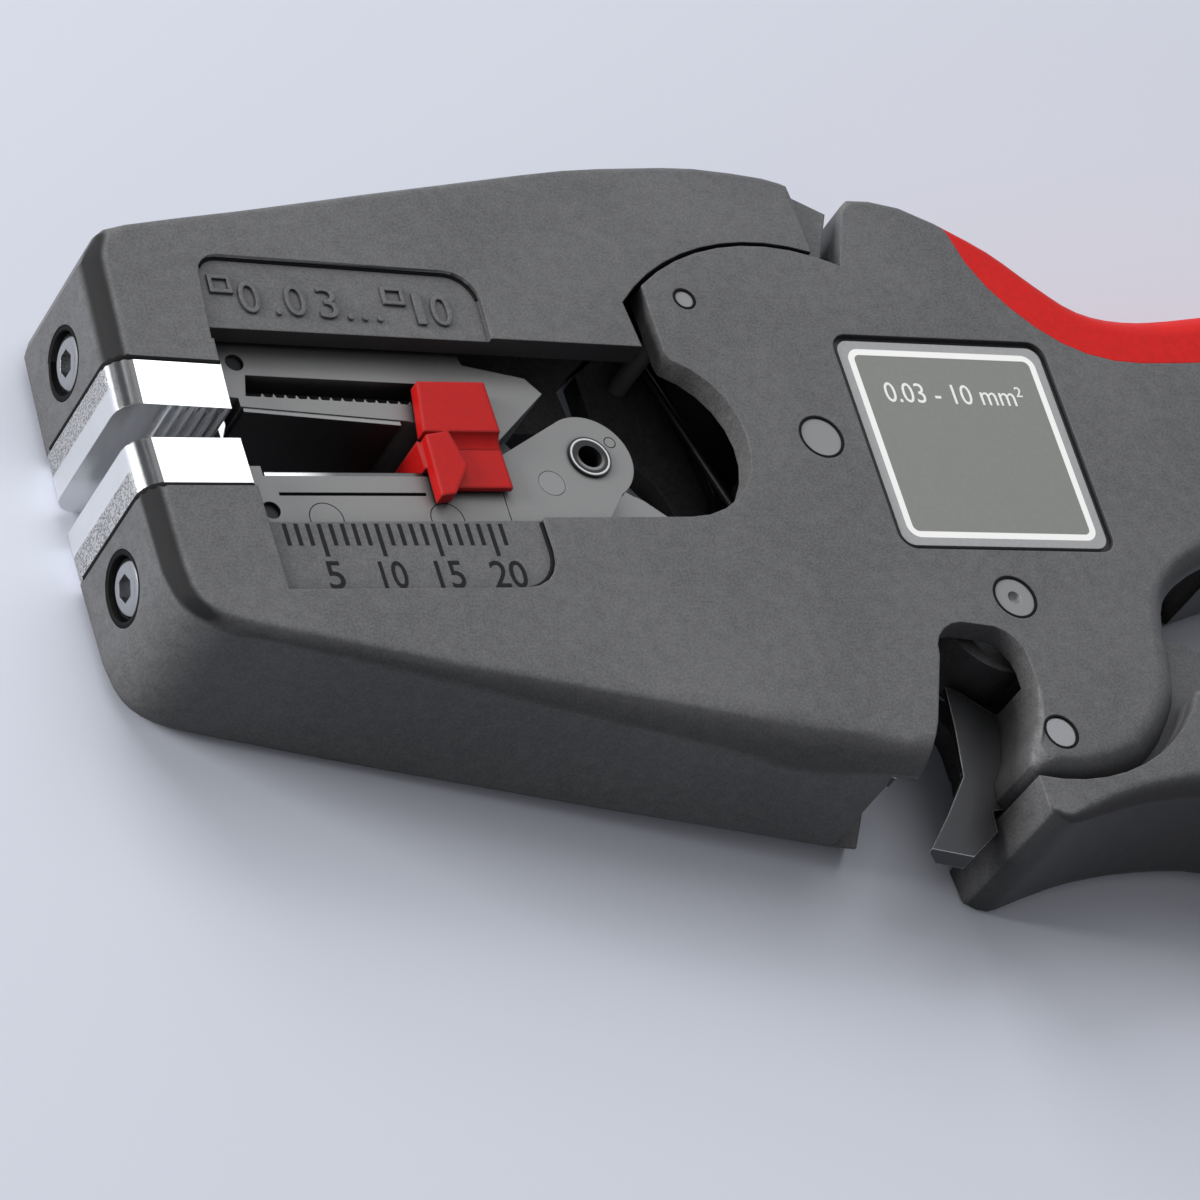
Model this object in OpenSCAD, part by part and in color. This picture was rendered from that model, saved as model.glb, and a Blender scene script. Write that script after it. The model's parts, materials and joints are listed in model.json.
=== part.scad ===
/* [Body] */
// Thickness of the tool over its two side faces
body_t = 15.2; // [14:0.1:18]
// Thickness of the side walls
wall = 2.3; // [2:0.1:2.6]
// Thickness of the wall under the lower jaw
floor_t = 2.2; // [1.6:0.1:3]
// Rounding where the front faces meet the side faces
front_r = 2.0; // [1:0.1:3]
// Rounding of the lower edge below the body
belly_r = 4.0; // [2.5:0.1:5]
// Rounding of the upper edges of the jaw and the body
crest_r = 0.8; // [0.4:0.1:1.4]
// Depth of the panels for the scale and the capacity marks
panel_depth = 0.5; // [0.3:0.05:0.8]

/* [Handles] */
// Reach of the fixed handle behind the main pivot
handle_reach = 131; // [120:1:145]
// Reach of the trigger lever behind the main pivot
trigger_reach = 121; // [112:1:132]
// Rounding of the handle edges
handle_r = 3.2; // [2:0.1:4.2]
// Thickness of the soft zones over their cores
soft_t = 2.4; // [1.6:0.1:3.2]

/* [Jaws] */
// Angle of the upper jaw when the mouth is open
jaw_open = 2.9; // [2.4:0.1:3.4]
// Length of the clamping inserts along the mouth
insert_len = 9.4; // [8.5:0.1:9.4]
// Height of the clamping inserts at the mouth
insert_h = 4.4; // [3.8:0.1:5]
// Number of grooves across each clamping insert
groove_count = 6; // [4:1:7]
// Distance between the grooves
groove_pitch = 0.95; // [0.8:0.05:1]
// Depth of the grooves
groove_depth = 0.4; // [0.2:0.05:0.6]
// Radius of the insert screws' heads
screw_head_r = 2.7; // [2.2:0.1:3.2]
// Radius of the insert screws' shanks
screw_r = 1.5; // [1:0.1:2]
// Distance from the mouth's middle to the insert screws
screw_offset = 8.9; // [8.6:0.1:10]

/* [Pins] */
// Radius of the main pivot pin
main_pin_r = 1.87; // [1.5:0.01:2.2]
// Radius of the trigger pivot pin
trigger_pin_r = 1.85; // [1.5:0.01:2.1]
// Radius of the spring anchor pin in the body's nose
anchor_pin_r = 0.85; // [0.6:0.05:1.1]
// Radius of the rivet that holds the fixed cutter blade
cutter_rivet_r = 1.4; // [1.1:0.05:1.8]
// Radial clearance of pins in their bores
fit = 0.04; // [0.02:0.01:0.08]
// Clearance between sliding and swinging pieces
gap = 0.3; // [0.2:0.05:0.4]

/* [Cassette] */
// Clearance between the cassette and the side walls
cassette_gap = 0.6; // [0.4:0.05:0.8]
// Thickness of the stripping blades
blade_t = 0.8; // [0.5:0.1:1]
// Gap between the stripping blades' edges when the mouth is open
blade_gap = 2.3; // [2.1:0.1:2.6]
// Width of the cassette's guide rail
rail_w = 4; // [3:0.1:5]
// Thickness of the link plates behind the cassette
link_t = 1.2; // [0.9:0.1:1.5]
// Radius of the round end of the link plates
link_r = 4; // [3.4:0.1:4.4]
// Radius of the hollow rivet's flange
rivet_flange_r = 1.9; // [1.7:0.05:2.3]
// Radius of the hollow rivet's shank
rivet_r = 1.45; // [1.3:0.05:1.6]
// Radius of the hole through the hollow rivet
rivet_bore_r = 1.05; // [0.8:0.05:1.15]
// Radius of the flush pin that the upper carrier swings on
link_pin_r = 1.15; // [0.9:0.05:1.3]
// Thickness of the pull rod
rod_t = 1.7; // [1.3:0.1:1.8]
// Width of the length stop along the scale
stop_w = 6.9; // [6:0.1:8]
// Depth of the carriers' long slot
slot_depth = 2.4; // [1.5:0.1:3]

/* [Cutter] */
// Thickness of the fixed cutter blade
cutter_t = 1.9; // [1.5:0.1:2]
// Thickness of the moving cutter blade
moving_t = 1.35; // [1:0.05:1.4]
// Thickness of the trigger plate
plate_t = 1.4; // [1.1:0.1:1.5]
// Thickness of the jaw's bearing plates
jaw_plate_t = 1.2; // [0.9:0.1:1.3]

/* [Label] */
// Side of the square label plate
label_side = 20.4; // [18:0.1:22]
// Thickness of the label plate
label_t = 0.35; // [0.2:0.05:0.6]
// Width of the groove round the label plate
label_gap = 0.5; // [0.3:0.1:0.9]

/* [Hidden] */

$fn = 48;
PLASTIC = [0.22, 0.22, 0.23];
STEEL = [0.62, 0.62, 0.63];
BRIGHT = [0.85, 0.85, 0.86];
RED = [0.78, 0.1, 0.09];
CARRIER = [0.45, 0.45, 0.46];

// Levels across the thickness, from the far side face at 0
mid_z = body_t / 2;
in_lo = wall;
in_hi = body_t - wall;
car_lo = in_lo + cassette_gap;
car_hi = in_hi - cassette_gap;
slip = 0.1;
plate_hi = in_hi - slip - jaw_plate_t;
plate_lo = in_lo + slip + jaw_plate_t;
lever_lo = in_lo + cassette_gap;
lever_hi = in_hi - cassette_gap;
tp_hi = plate_hi - 2 * slip;
tp_lo = tp_hi - plate_t;
mov_lo = tp_lo - moving_t;
cut_hi = mov_lo - slip;
cut_lo = cut_hi - cutter_t;
rod_hi = cut_hi;
rod_lo = rod_hi - rod_t;

// Pivots, seen from the near side: X runs back to the handles, Y up to the upper jaw
main_pin = [0, 0];
trigger_pin = [13.2, -15.75];
anchor_pin = [-8.55, 13.65];
cutter_rivet_at = [12.73, -28.7];
rivet_at = [-20.8, -0.3];
link_pin_at = [-25, -2.75];
plate_rivet_at = [-26.4, -8];
rod_pin_at = [-2, -17];
roller_at = [15, -8];

// The mouth: the jaws' middle plane, their front face and the rear end of their blocks
mouth_y = -0.58;
front_x = -62.8;
seat_x = front_x + insert_len;
window_x = seat_x + 0.2;
window_y = -8.1;
rear_arc_at = [-15.2, 0.1];
rear_arc_r = 8;
nose_r = 19.3;
jaw_arc_r = nose_r + 0.4;
corner_r = 17.15;

// Clearance under a piece that is pressed or screwed into its seat
seat = 0.05;
fillet_steps = 4;

function unit(v) = v / norm(v);

// Points on an arc, each with its edge rounding
function arc(c, r, a0, a1, n, e) =
    [for (i = [0:n]) let (a = a0 + (a1 - a0) * i / n) [c.x + r * cos(a), c.y + r * sin(a), e]];

// Smooth curve through control points, n pieces between each two; the third value rides along
function curve(p, n) = concat([for (i = [0:len(p) - 2], k = [0:n - 1])
    let (a = p[max(i - 1, 0)], b = p[i], c = p[i + 1], d = p[min(i + 2, len(p) - 1)], t = k / n)
    0.5 * (2 * b + (c - a) * t + (2 * a - 5 * b + 4 * c - d) * t * t + (3 * b - a - 3 * c + d) * t * t * t)],
    [p[len(p) - 1]]);

// Corner i of an outline moved inwards by d, and the same along an open path
function inset(p, i, d) = let (n = len(p)) moved(p[(i + n - 1) % n], p[i], p[(i + 1) % n], d);
function aside(p, i, d) = let (n = len(p), b = p[i], a = i > 0 ? p[i - 1] : 2 * b - p[i + 1],
    c = i < n - 1 ? p[i + 1] : 2 * b - p[i - 1]) moved(a, b, c, d);
function moved(a, b, c, d) = let (u = unit([b.x - a.x, b.y - a.y]), v = unit([c.x - b.x, c.y - b.y]))
    [b.x, b.y] + [-u.y - v.y, u.x + v.x] * (d / max(0.6, 1 + u * v));

function flat(p) = [for (q = p) [q.x, q.y]];

// Moves the part of a curve behind x0 so that it ends at x1 instead of x_end
function stretch(p, x0, x_end, x1) =
    [for (q = p) q.x <= x0 ? q : [x0 + (q.x - x0) * (x1 - x0) / (x_end - x0), q.y, q.z]];

// Cuts the rounding of one face's edge along a path with the solid on its left: a rail of a
// constant section, from outside over the rounded edge and back outside
module edge_cut(path, z) {
    n = len(path);
    m = fillet_steps + 3;
    out = 0.5;
    skim = 0.01;
    pts = [for (i = [0:n - 1], k = [0:m - 1]) let (r = path[i].z, a = 90 * (k - 1) / fillet_steps,
        d = k == 0 || k == m - 1 ? -out : r * (1 - cos(a)) - skim,
        h = k == 0 ? -r - out : k == m - 1 ? out : r * (sin(a) - 1) + skim,
        q = aside(path, i, d)) [q.x, q.y, z + h]];
    sides = [for (i = [0:n - 2], k = [0:m - 1], h = [0, 1]) let (l = (k + 1) % m)
        h == 0 ? [i * m + k, (i + 1) * m + k, (i + 1) * m + l] : [i * m + k, (i + 1) * m + l, i * m + l]];
    polyhedron(pts, concat([[for (k = [0:m - 1]) k]], sides, [[for (k = [m - 1:-1:0]) (n - 1) * m + k]]));
}

// A moulded slab with its outline's faces rounded along the given paths
module moulding(p, paths, z0, z1) difference() {
    slab(p, z0, z1);
    for (e = paths) {
        edge_cut(e, z1);
        translate([0, 0, z0]) mirror([0, 0, 1]) edge_cut(e, 0);
    }
}

module slab(p, z0, z1) translate([0, 0, z0]) linear_extrude(z1 - z0) polygon(flat(p));
// All that lies outside an outline
module outside(p) translate([0, 0, -1]) linear_extrude(body_t + 2) difference() {
    translate([-100, -120]) square([300, 200]);
    polygon(flat(p));
}
module disc(c, r, z0, z1) translate([c.x, c.y, z0]) cylinder(r = r, h = z1 - z0);
module block(x0, x1, y0, y1, z0, z1) translate([x0, y0, z0]) cube([x1 - x0, y1 - y0, z1 - z0]);
module jaw_pose() rotate([0, 0, -jaw_open]) children();

// A bar with round ends between two points
module bar(a, b, ra, rb, z0, z1) {
    d = unit(b - a);
    s = [-d.y, d.x];
    disc(a, ra, z0, z1);
    disc(b, rb, z0, z1);
    slab([a - s * ra, b - s * rb, b + s * rb, a + s * ra], z0, z1);
}

// A pin with a flush head in each side face
module through_pin(c, r) disc(c, r, 0.1, body_t - 0.1);

// Bore for such a pin, with the fine ring that shows round its head
module pin_bore(c, r) {
    disc(c, r + fit, -1, body_t + 1);
    disc(c, r + 0.2, body_t - 0.35, body_t + 1);
    disc(c, r + 0.2, -1, 0.35);
}

// Underside of the lower jaw, from the front face back to the cutter notch
bed_low = mouth_y - insert_h - seat;
belly = curve([[front_x, -12.2, front_r], [-62, -15.4, 1.8],
    [-59.4, -17.6, 1.6], [-54, -19.1, 1.5], [-40, -22.6, 0.45 * belly_r], [-23, -27, 0.75 * belly_r],
    [-12, -29.8, belly_r], [-2.6, -31.4, 0.8 * belly_r]], 3);

// Cutter notch, open below
notch_left = concat([[-1, -31.5], [1.2, -27.4]], flat(arc([6.9, -21.3], 3.2, 178, 90, 5, 0)),
    flat(arc([9, -21.7], 3.3, 90, 0, 5, 0)));
notch_right = [[12.2, -24.4, 0.35], [11.2, -27.4, 0.6], [9.6, -29.7, 1], [9.3, -31.2, 1.3], [10, -32.3, 1.7]];

// Lower rear corner of the body, round the trigger's pivot, and the underside of the fixed handle
corner = arc(trigger_pin, corner_r, -95, -63, 6, 2.6);
under_handle = stretch(curve([[23.7, -28.8, 2.6], [26.2, -25.6, 2.6], [27.5, -22.2, 2.6], [28, -18.8, 2.3],
    [29, -15.8, 2], [32, -13.2, 2], [37, -11, 2.2], [46, -8.6, 2.8], [60, -7.1, handle_r],
    [78, -6.7, handle_r], [96, -7.9, handle_r], [112, -10.6, handle_r], [122, -12.7, handle_r],
    [128.4, -12, handle_r], [131, -8, handle_r], [129.6, -3.6, handle_r], [125.6, -0.2, handle_r]], 3),
    37, 131, handle_reach);

// Back of the fixed handle, from its end forward to the body
handle_back = stretch(curve([[125.6, -0.2, handle_r], [118, 3.8, handle_r], [104, 9.4, handle_r],
    [88, 13.6, handle_r], [70, 15.8, handle_r], [54, 15.6, handle_r], [42, 14.2, handle_r], [36, 13.8, 3],
    [31.8, 14.5, 2.6], [28.5, 16.8, 2.2], [24.6, 20.2, 1.8], [19.8, 22.9, 1.2]], 3), 37, 131, handle_reach);

// Line between the hard moulding and the soft saddle
saddle_line = stretch(curve([[136, 1.6, 0], [129, -0.7, 0], [122, -0.9, 0], [110, 2.6, 0], [94, 6.4, 0],
    [76, 8.5, 0], [56, 8.7, 0], [40, 8.1, 0], [33, 8.2, 0], [28, 10, 0], [24, 13.6, 0], [21.2, 18.2, 0],
    [19.7, 25, 0]], 2), 37, 131, handle_reach);

body_top = [[16.6, 24.2, crest_r], [13.7, 24.8, crest_r], [11.6, 24.8, crest_r], [10.8, 24.1, 0.6]];
nose = concat([[8.3, 17.9]], flat(arc(main_pin, nose_r, 65, 129.5, 9, 0)), [[-12.3, 8.2]],
    flat(arc(rear_arc_at, rear_arc_r, 67, -90, 12, 0)));
mouth_floor = [[window_x, window_y], [window_x, bed_low], [front_x, bed_low]];

// Body and fixed handle in one outline; the soft saddle is parted from it along the saddle line
handle_round = concat(notch_right, corner, under_handle, [for (i = [1:len(handle_back) - 1]) handle_back[i]],
    body_top);
body_outline = concat(flat(belly), notch_left, flat(handle_round), nose, mouth_floor);
body_rounds = [concat([[front_x, bed_low + 2, front_r]], belly, [[1, -31.9, 0.8 * belly_r]]),
    concat([[11.2, -22.9, 0.3]], handle_round, [[8.6, 21.4, 0.3]])];
saddle_zone = concat(flat(saddle_line), [[19.6, 30], [60, 30], [handle_reach + 9, 24],
    [handle_reach + 9, 2]]);

// Hollow between the housing's side walls: the cassette's bay, the trigger's bay and their way out
jaw_floor = [[window_x, 6], [window_x, -18.9 + floor_t], [-40, -22.6 + floor_t], [-23, -27 + floor_t],
    [-12, -29.8 + floor_t], [-3.4, -31.2 + floor_t], [-3.2, -34]];
cutter_side = [[9.2, -34], [9.2, -22.6], [12.4, -23.2], [15.6, -23.4], [16, -36]];
trigger_way = [[30, -36], [41, -22], [38.5, -8.9], [31, -7.6], [20, -5.8], [12, -3.6]];
jaw_way = concat([[9.4, 8], [9.6, 27], [2, 27], [-15, 22], [-15, 6]]);
hollow = concat(jaw_floor, cutter_side, trigger_way, jaw_way);

// Ribs across the bay that carry the cassette's rail
rail_y = -14.6;
rail_top = rail_y + 3.8;
rail_end = -17;
rib_x = [-50, -38.8, -27.6];
rib_t = 1.6;

spring_peg_at = [5.6, -9.2];

tang_x0 = front_x + 2.3;
tang_x1 = tang_x0 + 3.4;
tang_half = 3;

// The insert's tang inside the jaw, in whose threaded hole the screw pulls
module tang(side, grow) {
    y_far = mouth_y + side * (screw_offset + screw_r + 1.2 + grow);
    y_near = mouth_y + side * (insert_h - 0.5);
    block(tang_x0 - grow, tang_x1 + grow, min(y_far, y_near), max(y_far, y_near),
        mid_z - tang_half - grow, mid_z + tang_half + grow);
}

screw_seat_x = front_x + 1.6;
module screw_way(side) {
    translate([front_x - 3, mouth_y + side * screw_offset, mid_z]) rotate([0, 90, 0]) {
        cylinder(r = screw_head_r + 0.35, h = 3 + screw_seat_x - front_x);
        cylinder(r = screw_r + 0.15, h = 12);
    }
}

// Socket screw with a button head, its axis along X
module clamp_screw(side) {
    translate([screw_seat_x, mouth_y + side * screw_offset, mid_z]) rotate([0, 90, 0]) difference() {
        union() {
            cylinder(r = screw_r, h = tang_x1 - screw_seat_x + 0.6);
            translate([0, 0, -1.4]) rotate_extrude() polygon([[0, 0], [screw_head_r - 1, 0],
                [screw_head_r - 0.3, 0.35], [screw_head_r, 0.9], [screw_head_r, 1.4], [0, 1.4]]);
        }
        translate([0, 0, -2]) cylinder(r = 1.15, h = 1.7, $fn = 6);
    }
}

module main_housing() color(PLASTIC) difference() {
    union() {
        difference() {
            moulding(body_outline, body_rounds, 0, body_t);
            slab(hollow, in_lo, in_hi);
            slab(saddle_zone, -1, body_t + 1);
        }
        for (x = rib_x) block(x, x + rib_t, -24.7 + (-27.6 - x) * 0.26, rail_y, in_lo - 0.1, in_hi + 0.1);
        disc(spring_peg_at, 1.1, in_lo - 0.1, rod_lo - gap);
        slab(saddle_core, core_lo, core_hi);
    }
    tang(-1, 0.05);
    screw_way(-1);
    pin_bore(main_pin, main_pin_r);
    pin_bore(trigger_pin, trigger_pin_r);
    pin_bore(anchor_pin, anchor_pin_r);
    pin_bore(cutter_rivet_at, cutter_rivet_r);
    slab(cutter_bed, cut_lo - 0.05, cut_hi + 0.05);
    scale_panel();
    label_bed();
}

// Shallow panel below the mouth for the length scale
module scale_panel() translate([0, 0, body_t - panel_depth])
    linear_extrude(2) polygon(concat([[window_x, window_y + 1], [window_x, -14.5]], [[-32.4, -14.5]],
        flat(arc([-32.4, -10.9], 3.6, -90, 0, 5, 0)), [[-28.8, window_y + 1]]));

label_at = [14.9, -0.5];
label_turn = -1.28;
module rounded_square(side, r) translate([-side / 2 + r, -side / 2 + r])
    for (x = [0, side - 2 * r], y = [0, side - 2 * r]) translate([x, y]) circle(r);
module label_shape(side, r, h) linear_extrude(h) {
    rounded_square(side, r);
    square([side - 2 * r, side], center = true);
    square([side, side - 2 * r], center = true);
}
module label_bed() translate([label_at.x, label_at.y, body_t - label_t - 0.25]) rotate([0, 0, label_turn])
    label_shape(label_side + 2 * label_gap, 1.6, 2);
module label_plate() color(STEEL) translate([label_at.x, label_at.y, body_t - label_t - 0.25])
    rotate([0, 0, label_turn]) label_shape(label_side, 1.2, label_t);

// Soft saddle over a core that the hard moulding holds up inside it
core_lo = soft_t;
core_hi = body_t - soft_t;
saddle_core = concat([for (i = [4:len(handle_back) - 8]) inset(handle_back, i, soft_t)],
    [for (i = [len(saddle_line) - 6:-1:6]) let (q = saddle_line[i]) [q.x, q.y - 0.5]]);
module soft_saddle() color(RED) difference() {
    moulding(body_outline, [body_rounds[1]], 0, body_t);
    outside(saddle_zone);
    slab(saddle_core, core_lo, core_hi);
}

module main_pivot_pin() color(STEEL) disc(main_pin, main_pin_r, 0, body_t - 0.1);
module spring_anchor_pin() color(STEEL) through_pin(anchor_pin, anchor_pin_r);
module cutter_rivet() color(BRIGHT) through_pin(cutter_rivet_at, cutter_rivet_r);
module trigger_pivot_pin() color(STEEL) difference() {
    through_pin(trigger_pin, trigger_pin_r);
    for (z = [body_t - 0.1, 0.1]) translate([trigger_pin.x, trigger_pin.y, z]) sphere(0.6);
}

// Fixed cutter blade: its edge faces the notch and its point stands out below the housing
cutter_bed = [[8.4, -20.2], [7.9, -24], [7, -28.7], [4, -32.4], [1.4, -35.3], [5.2, -36.2], [8.3, -34],
    [8.6, -32], [15, -31.6], [14.8, -23.4], [12.2, -22.9], [9.4, -20.6]];
module fixed_cutter_blade() color(STEEL) difference() {
    slab(cutter_bed, cut_lo, cut_hi);
    disc(cutter_rivet_at, cutter_rivet_r + fit, cut_lo - 1, cut_hi + 1);
    for (i = [0:3]) edge_bevel(cutter_bed[i], cutter_bed[i + 1], cut_lo);
}

// Bevel along one side of a blade, which leaves the edge on its upper face
module edge_bevel(a, b, z) {
    d = unit(b - a);
    len_ab = norm(b - a);
    translate([a.x, a.y, z]) rotate([0, 0, atan2(d.y, d.x)]) translate([-0.4, 0, 0]) rotate([90, 0, 90])
        linear_extrude(len_ab + 0.8) polygon([[-1, -1], [1.1, -1], [1.1, 0], [-1, cutter_t * 0.85 + 1]]);
}

// One clamping insert: its block, its tang and the grooves across its grip
module clamp_insert(side) difference() {
    y_low = side > 0 ? mouth_y + 0.02 : mouth_y - insert_h;
    y_high = side > 0 ? mouth_y + insert_h : mouth_y - 0.02;
    union() {
        moulding([[front_x, y_low], [seat_x, y_low], [seat_x, y_high], [front_x, y_high]],
            [[[front_x, y_high + 2, front_r], [front_x, y_low - 2, front_r]]], 0.1, body_t - 0.1);
        tang(side, 0);
    }
    translate([front_x, mouth_y + side * screw_offset, mid_z]) rotate([0, 90, 0])
        cylinder(r = screw_r + fit, h = 12);
    for (i = [0:groove_count - 1]) translate([seat_x - 0.7 - i * groove_pitch, mouth_y, -1])
        rotate([0, 0, 45]) cube([groove_depth * 1.4, groove_depth * 1.4, 2 * body_t + 4], center = true);
}
module lower_clamp_insert() color(BRIGHT) clamp_insert(-1);
module lower_clamp_screw() color(BRIGHT) clamp_screw(-1);
module upper_clamp_insert() color(BRIGHT) jaw_pose() clamp_insert(1);
module upper_clamp_screw() color(BRIGHT) jaw_pose() clamp_screw(1);

module cassette_rail() color(STEEL)
    block(window_x + 0.1, rail_end, rail_y, rail_top, mid_z - rail_w / 2, mid_z + rail_w / 2);

// A torsion spring: closed coils about an axis and two straight legs
module torsion_spring(c, coil_r, wire_r, z0, coils, leg_a, leg_b) {
    pitch = 1.9 * wire_r;
    for (i = [0:coils - 1]) translate([c.x, c.y, z0 + wire_r + i * pitch])
        rotate_extrude() translate([coil_r, 0]) circle(wire_r, $fn = 16);
    spring_leg(c, coil_r, wire_r, z0 + wire_r, leg_a, 1);
    spring_leg(c, coil_r, wire_r, z0 + wire_r + (coils - 1) * pitch, leg_b, -1);
}
// Straight leg that leaves the coil at a tangent and ends at a point
module spring_leg(c, coil_r, wire_r, z, tip, turn) {
    v = tip - c;
    reach = sqrt(norm(v) * norm(v) - coil_r * coil_r);
    a = atan2(v.y, v.x) + turn * acos(coil_r / norm(v));
    translate([c.x + coil_r * cos(a), c.y + coil_r * sin(a), z]) rotate([0, 0, a - turn * 90])
        rotate([0, 90, 0]) cylinder(r = wire_r * 0.98, h = reach, $fn = 16);
}
coil_wire_r = 0.45;
trigger_coil_r = 3.5;
jaw_coil_r = main_pin_r + coil_wire_r + 0.35;
trigger_coil_z = plate_lo + 0.25;
jaw_coil_z = plate_lo + 0.4;
trigger_leg_tip = [22.5, -20.6];
module trigger_spring() color(STEEL) torsion_spring(trigger_pin, trigger_coil_r, coil_wire_r,
    trigger_coil_z, 3,
    trigger_leg_tip, spring_peg_at + [1.1 + coil_wire_r, -1.2]);
module jaw_spring() color(STEEL) torsion_spring(main_pin, jaw_coil_r, coil_wire_r, jaw_coil_z, 3,
    anchor_pin + [anchor_pin_r + coil_wire_r + 0.1, 0.6], [1.6, 21.4]);

// Upper jaw, drawn with the mouth closed and turned open by jaw_pose
jaw_crest = curve([[4.7, 26.3, crest_r], [2.3, 27, crest_r], [-4.4, 27.4, crest_r], [-10.4, 26.9, crest_r],
    [-17.3, 26, crest_r], [-25.3, 24.3, crest_r], [-36.2, 21.9, crest_r], [-48, 19.2, crest_r],
    [-58.6, 16.9, crest_r], [-61.3, 15.8, 1.3], [front_x, 13.4, front_r]], 2);
bed_high = mouth_y + insert_h + seat;
jaw_mouth = [[front_x, bed_high], [window_x - 0.3, bed_high], [window_x - 0.3, 7.4], [-14.7, 8]];
jaw_outline = concat(jaw_mouth, flat(arc(main_pin, jaw_arc_r, 141, 76, 10, 0)), flat(jaw_crest));
jaw_rounds = [concat([[5.6, 18.8, crest_r]], jaw_crest, [[front_x, bed_high - 2, front_r]])];
jaw_hollow = concat([[window_x - 0.8, -4], [-12, -4], [-12, 8.6]], flat(arc(main_pin,
    jaw_arc_r - 1.5, 141, 76, 6, 0)),
    [[3.9, 24.9], [-4.4, 25.4], [-14, 24.2], [-20, 22.6], [-22.5, 12.6], [window_x - 0.8, 12.2]]);
tongue = concat(flat(arc(main_pin, jaw_arc_r, 80, 72.5, 2, 0)), [[8, 23.9], [5, 25.4], [3.6, 25.6]]);
jaw_pin_at = [[-9.4, 22.6], [1.4, 23]];
jaw_pin_r = 1;

module upper_jaw_moulding() color(PLASTIC) jaw_pose() difference() {
    union() {
        difference() {
            moulding(jaw_outline, jaw_rounds, 0, body_t);
            slab(jaw_hollow, in_lo, in_hi);
        }
        slab(tongue, 0.8, body_t - 0.8);
    }
    tang(1, 0.05);
    screw_way(1);
    for (p = jaw_pin_at) disc(p, jaw_pin_r + fit, in_lo - 1, in_hi + 1);
    slab([[3, 19.2], [9, 17], [9, 24.4], [3, 24.6]], in_lo, in_hi);
    capacity_panel();
}

// Shallow panel above the mouth for the capacity marks
module capacity_panel() translate([0, 0, body_t - panel_depth]) linear_extrude(2)
    polygon(concat([[window_x - 0.5, 6], [-28.6, 6]], flat(arc([-31.4, 11.5], 2.8, 0, 90, 5, 0)),
        flat(arc([window_x + 1.8, 12.3], 2, 90, 180, 4, 0))));

// Steel plates that hang the jaw on the main pin; their tails follow the trigger's cam
jaw_plate_hub_r = 4.2;
module jaw_plate(z0, z1) difference() {
    union() {
        disc(main_pin, jaw_plate_hub_r, z0, z1);
        slab([[-3.6, 1], [3.8, 1], [4.6, 22.2], [3.2, 24.6], [-4.4, 25.1], [-11.6, 24.2], [-11.8, 21.6],
            [-6.4, 19.6]], z0, z1);
        bar(main_pin, roller_at, 3, 1.35, z0, z1);
    }
    disc(main_pin, main_pin_r + fit, z0 - 1, z1 + 1);
    disc(roller_at, roller_end_r + fit, z0 - 1, z1 + 1);
    for (p = jaw_pin_at) disc(p, jaw_pin_r + fit, z0 - 1, z1 + 1);
}
module jaw_bearing_plates() color(STEEL) jaw_pose() {
    jaw_plate(in_lo + slip, in_lo + slip + jaw_plate_t);
    jaw_plate(in_hi - slip - jaw_plate_t, in_hi - slip);
}
module jaw_plate_pins() color(STEEL) jaw_pose() for (p = jaw_pin_at) disc(p, jaw_pin_r,
    in_lo - 0.9, in_hi + 0.9);

roller_r = 1.5;
roller_end_r = 0.8;
module jaw_cam_roller() color(STEEL) jaw_pose() {
    disc(roller_at, roller_r, plate_lo + slip, plate_hi - slip);
    disc(roller_at, roller_end_r, in_lo + slip, in_hi - slip);
}

// Trigger lever: a thick finger part, and a thinner rib that runs into the body round the pivot
lever_gap_r = corner_r + gap;
finger_line = stretch(curve([[9, -35.8, 0.4], [10.8, -36.9, 0.8], [14, -36.2, 1.4], [19.2, -35, 1.8],
    [26, -34.4, 2.2], [33.5, -35, 2.6], [42, -38.4, handle_r], [54, -45.6, handle_r], [66, -53.4, handle_r],
    [80, -60.8, handle_r], [94, -67.4, handle_r], [106, -74.4, handle_r], [112.6, -78.2, 2.6],
    [117.8, -79.1, 2.4], [121, -75.6, 2.4], [119, -71.2, 2.6]], 3), 42, 121, trigger_reach);
lever_back = stretch(curve([[119, -71.2, 2.6], [111, -66.6, handle_r], [98, -59.4, handle_r],
    [84, -50.8, handle_r], [70, -42, handle_r], [58, -34.6, handle_r], [47, -29.2, 2.6], [38, -26.2, 1.8],
    [31, -25.3, 1.2]], 3), 42, 121, trigger_reach);
lever_edge = concat(finger_line, [for (i = [1:len(lever_back) - 1]) lever_back[i]]);
lever_outline = concat(flat(lever_edge), flat(arc(trigger_pin, lever_gap_r, -31.5, -104, 10, 0)));
lever_rounds = [concat([[8.6, -31.8, 0.4]], lever_edge, [[24.9, -23.6, 0.8]])];
lever_hub_r = 5.5;
rib_outline = [[13.4, -21.2], [17.2, -24], [17.6, -33], [27, -29], [34, -27], [42, -28.6], [38.2, -24],
    [34.4, -20.6], [30, -18.4], [24, -15.6], [16.6, -11.4], [13.2, -10.4]];

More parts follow.
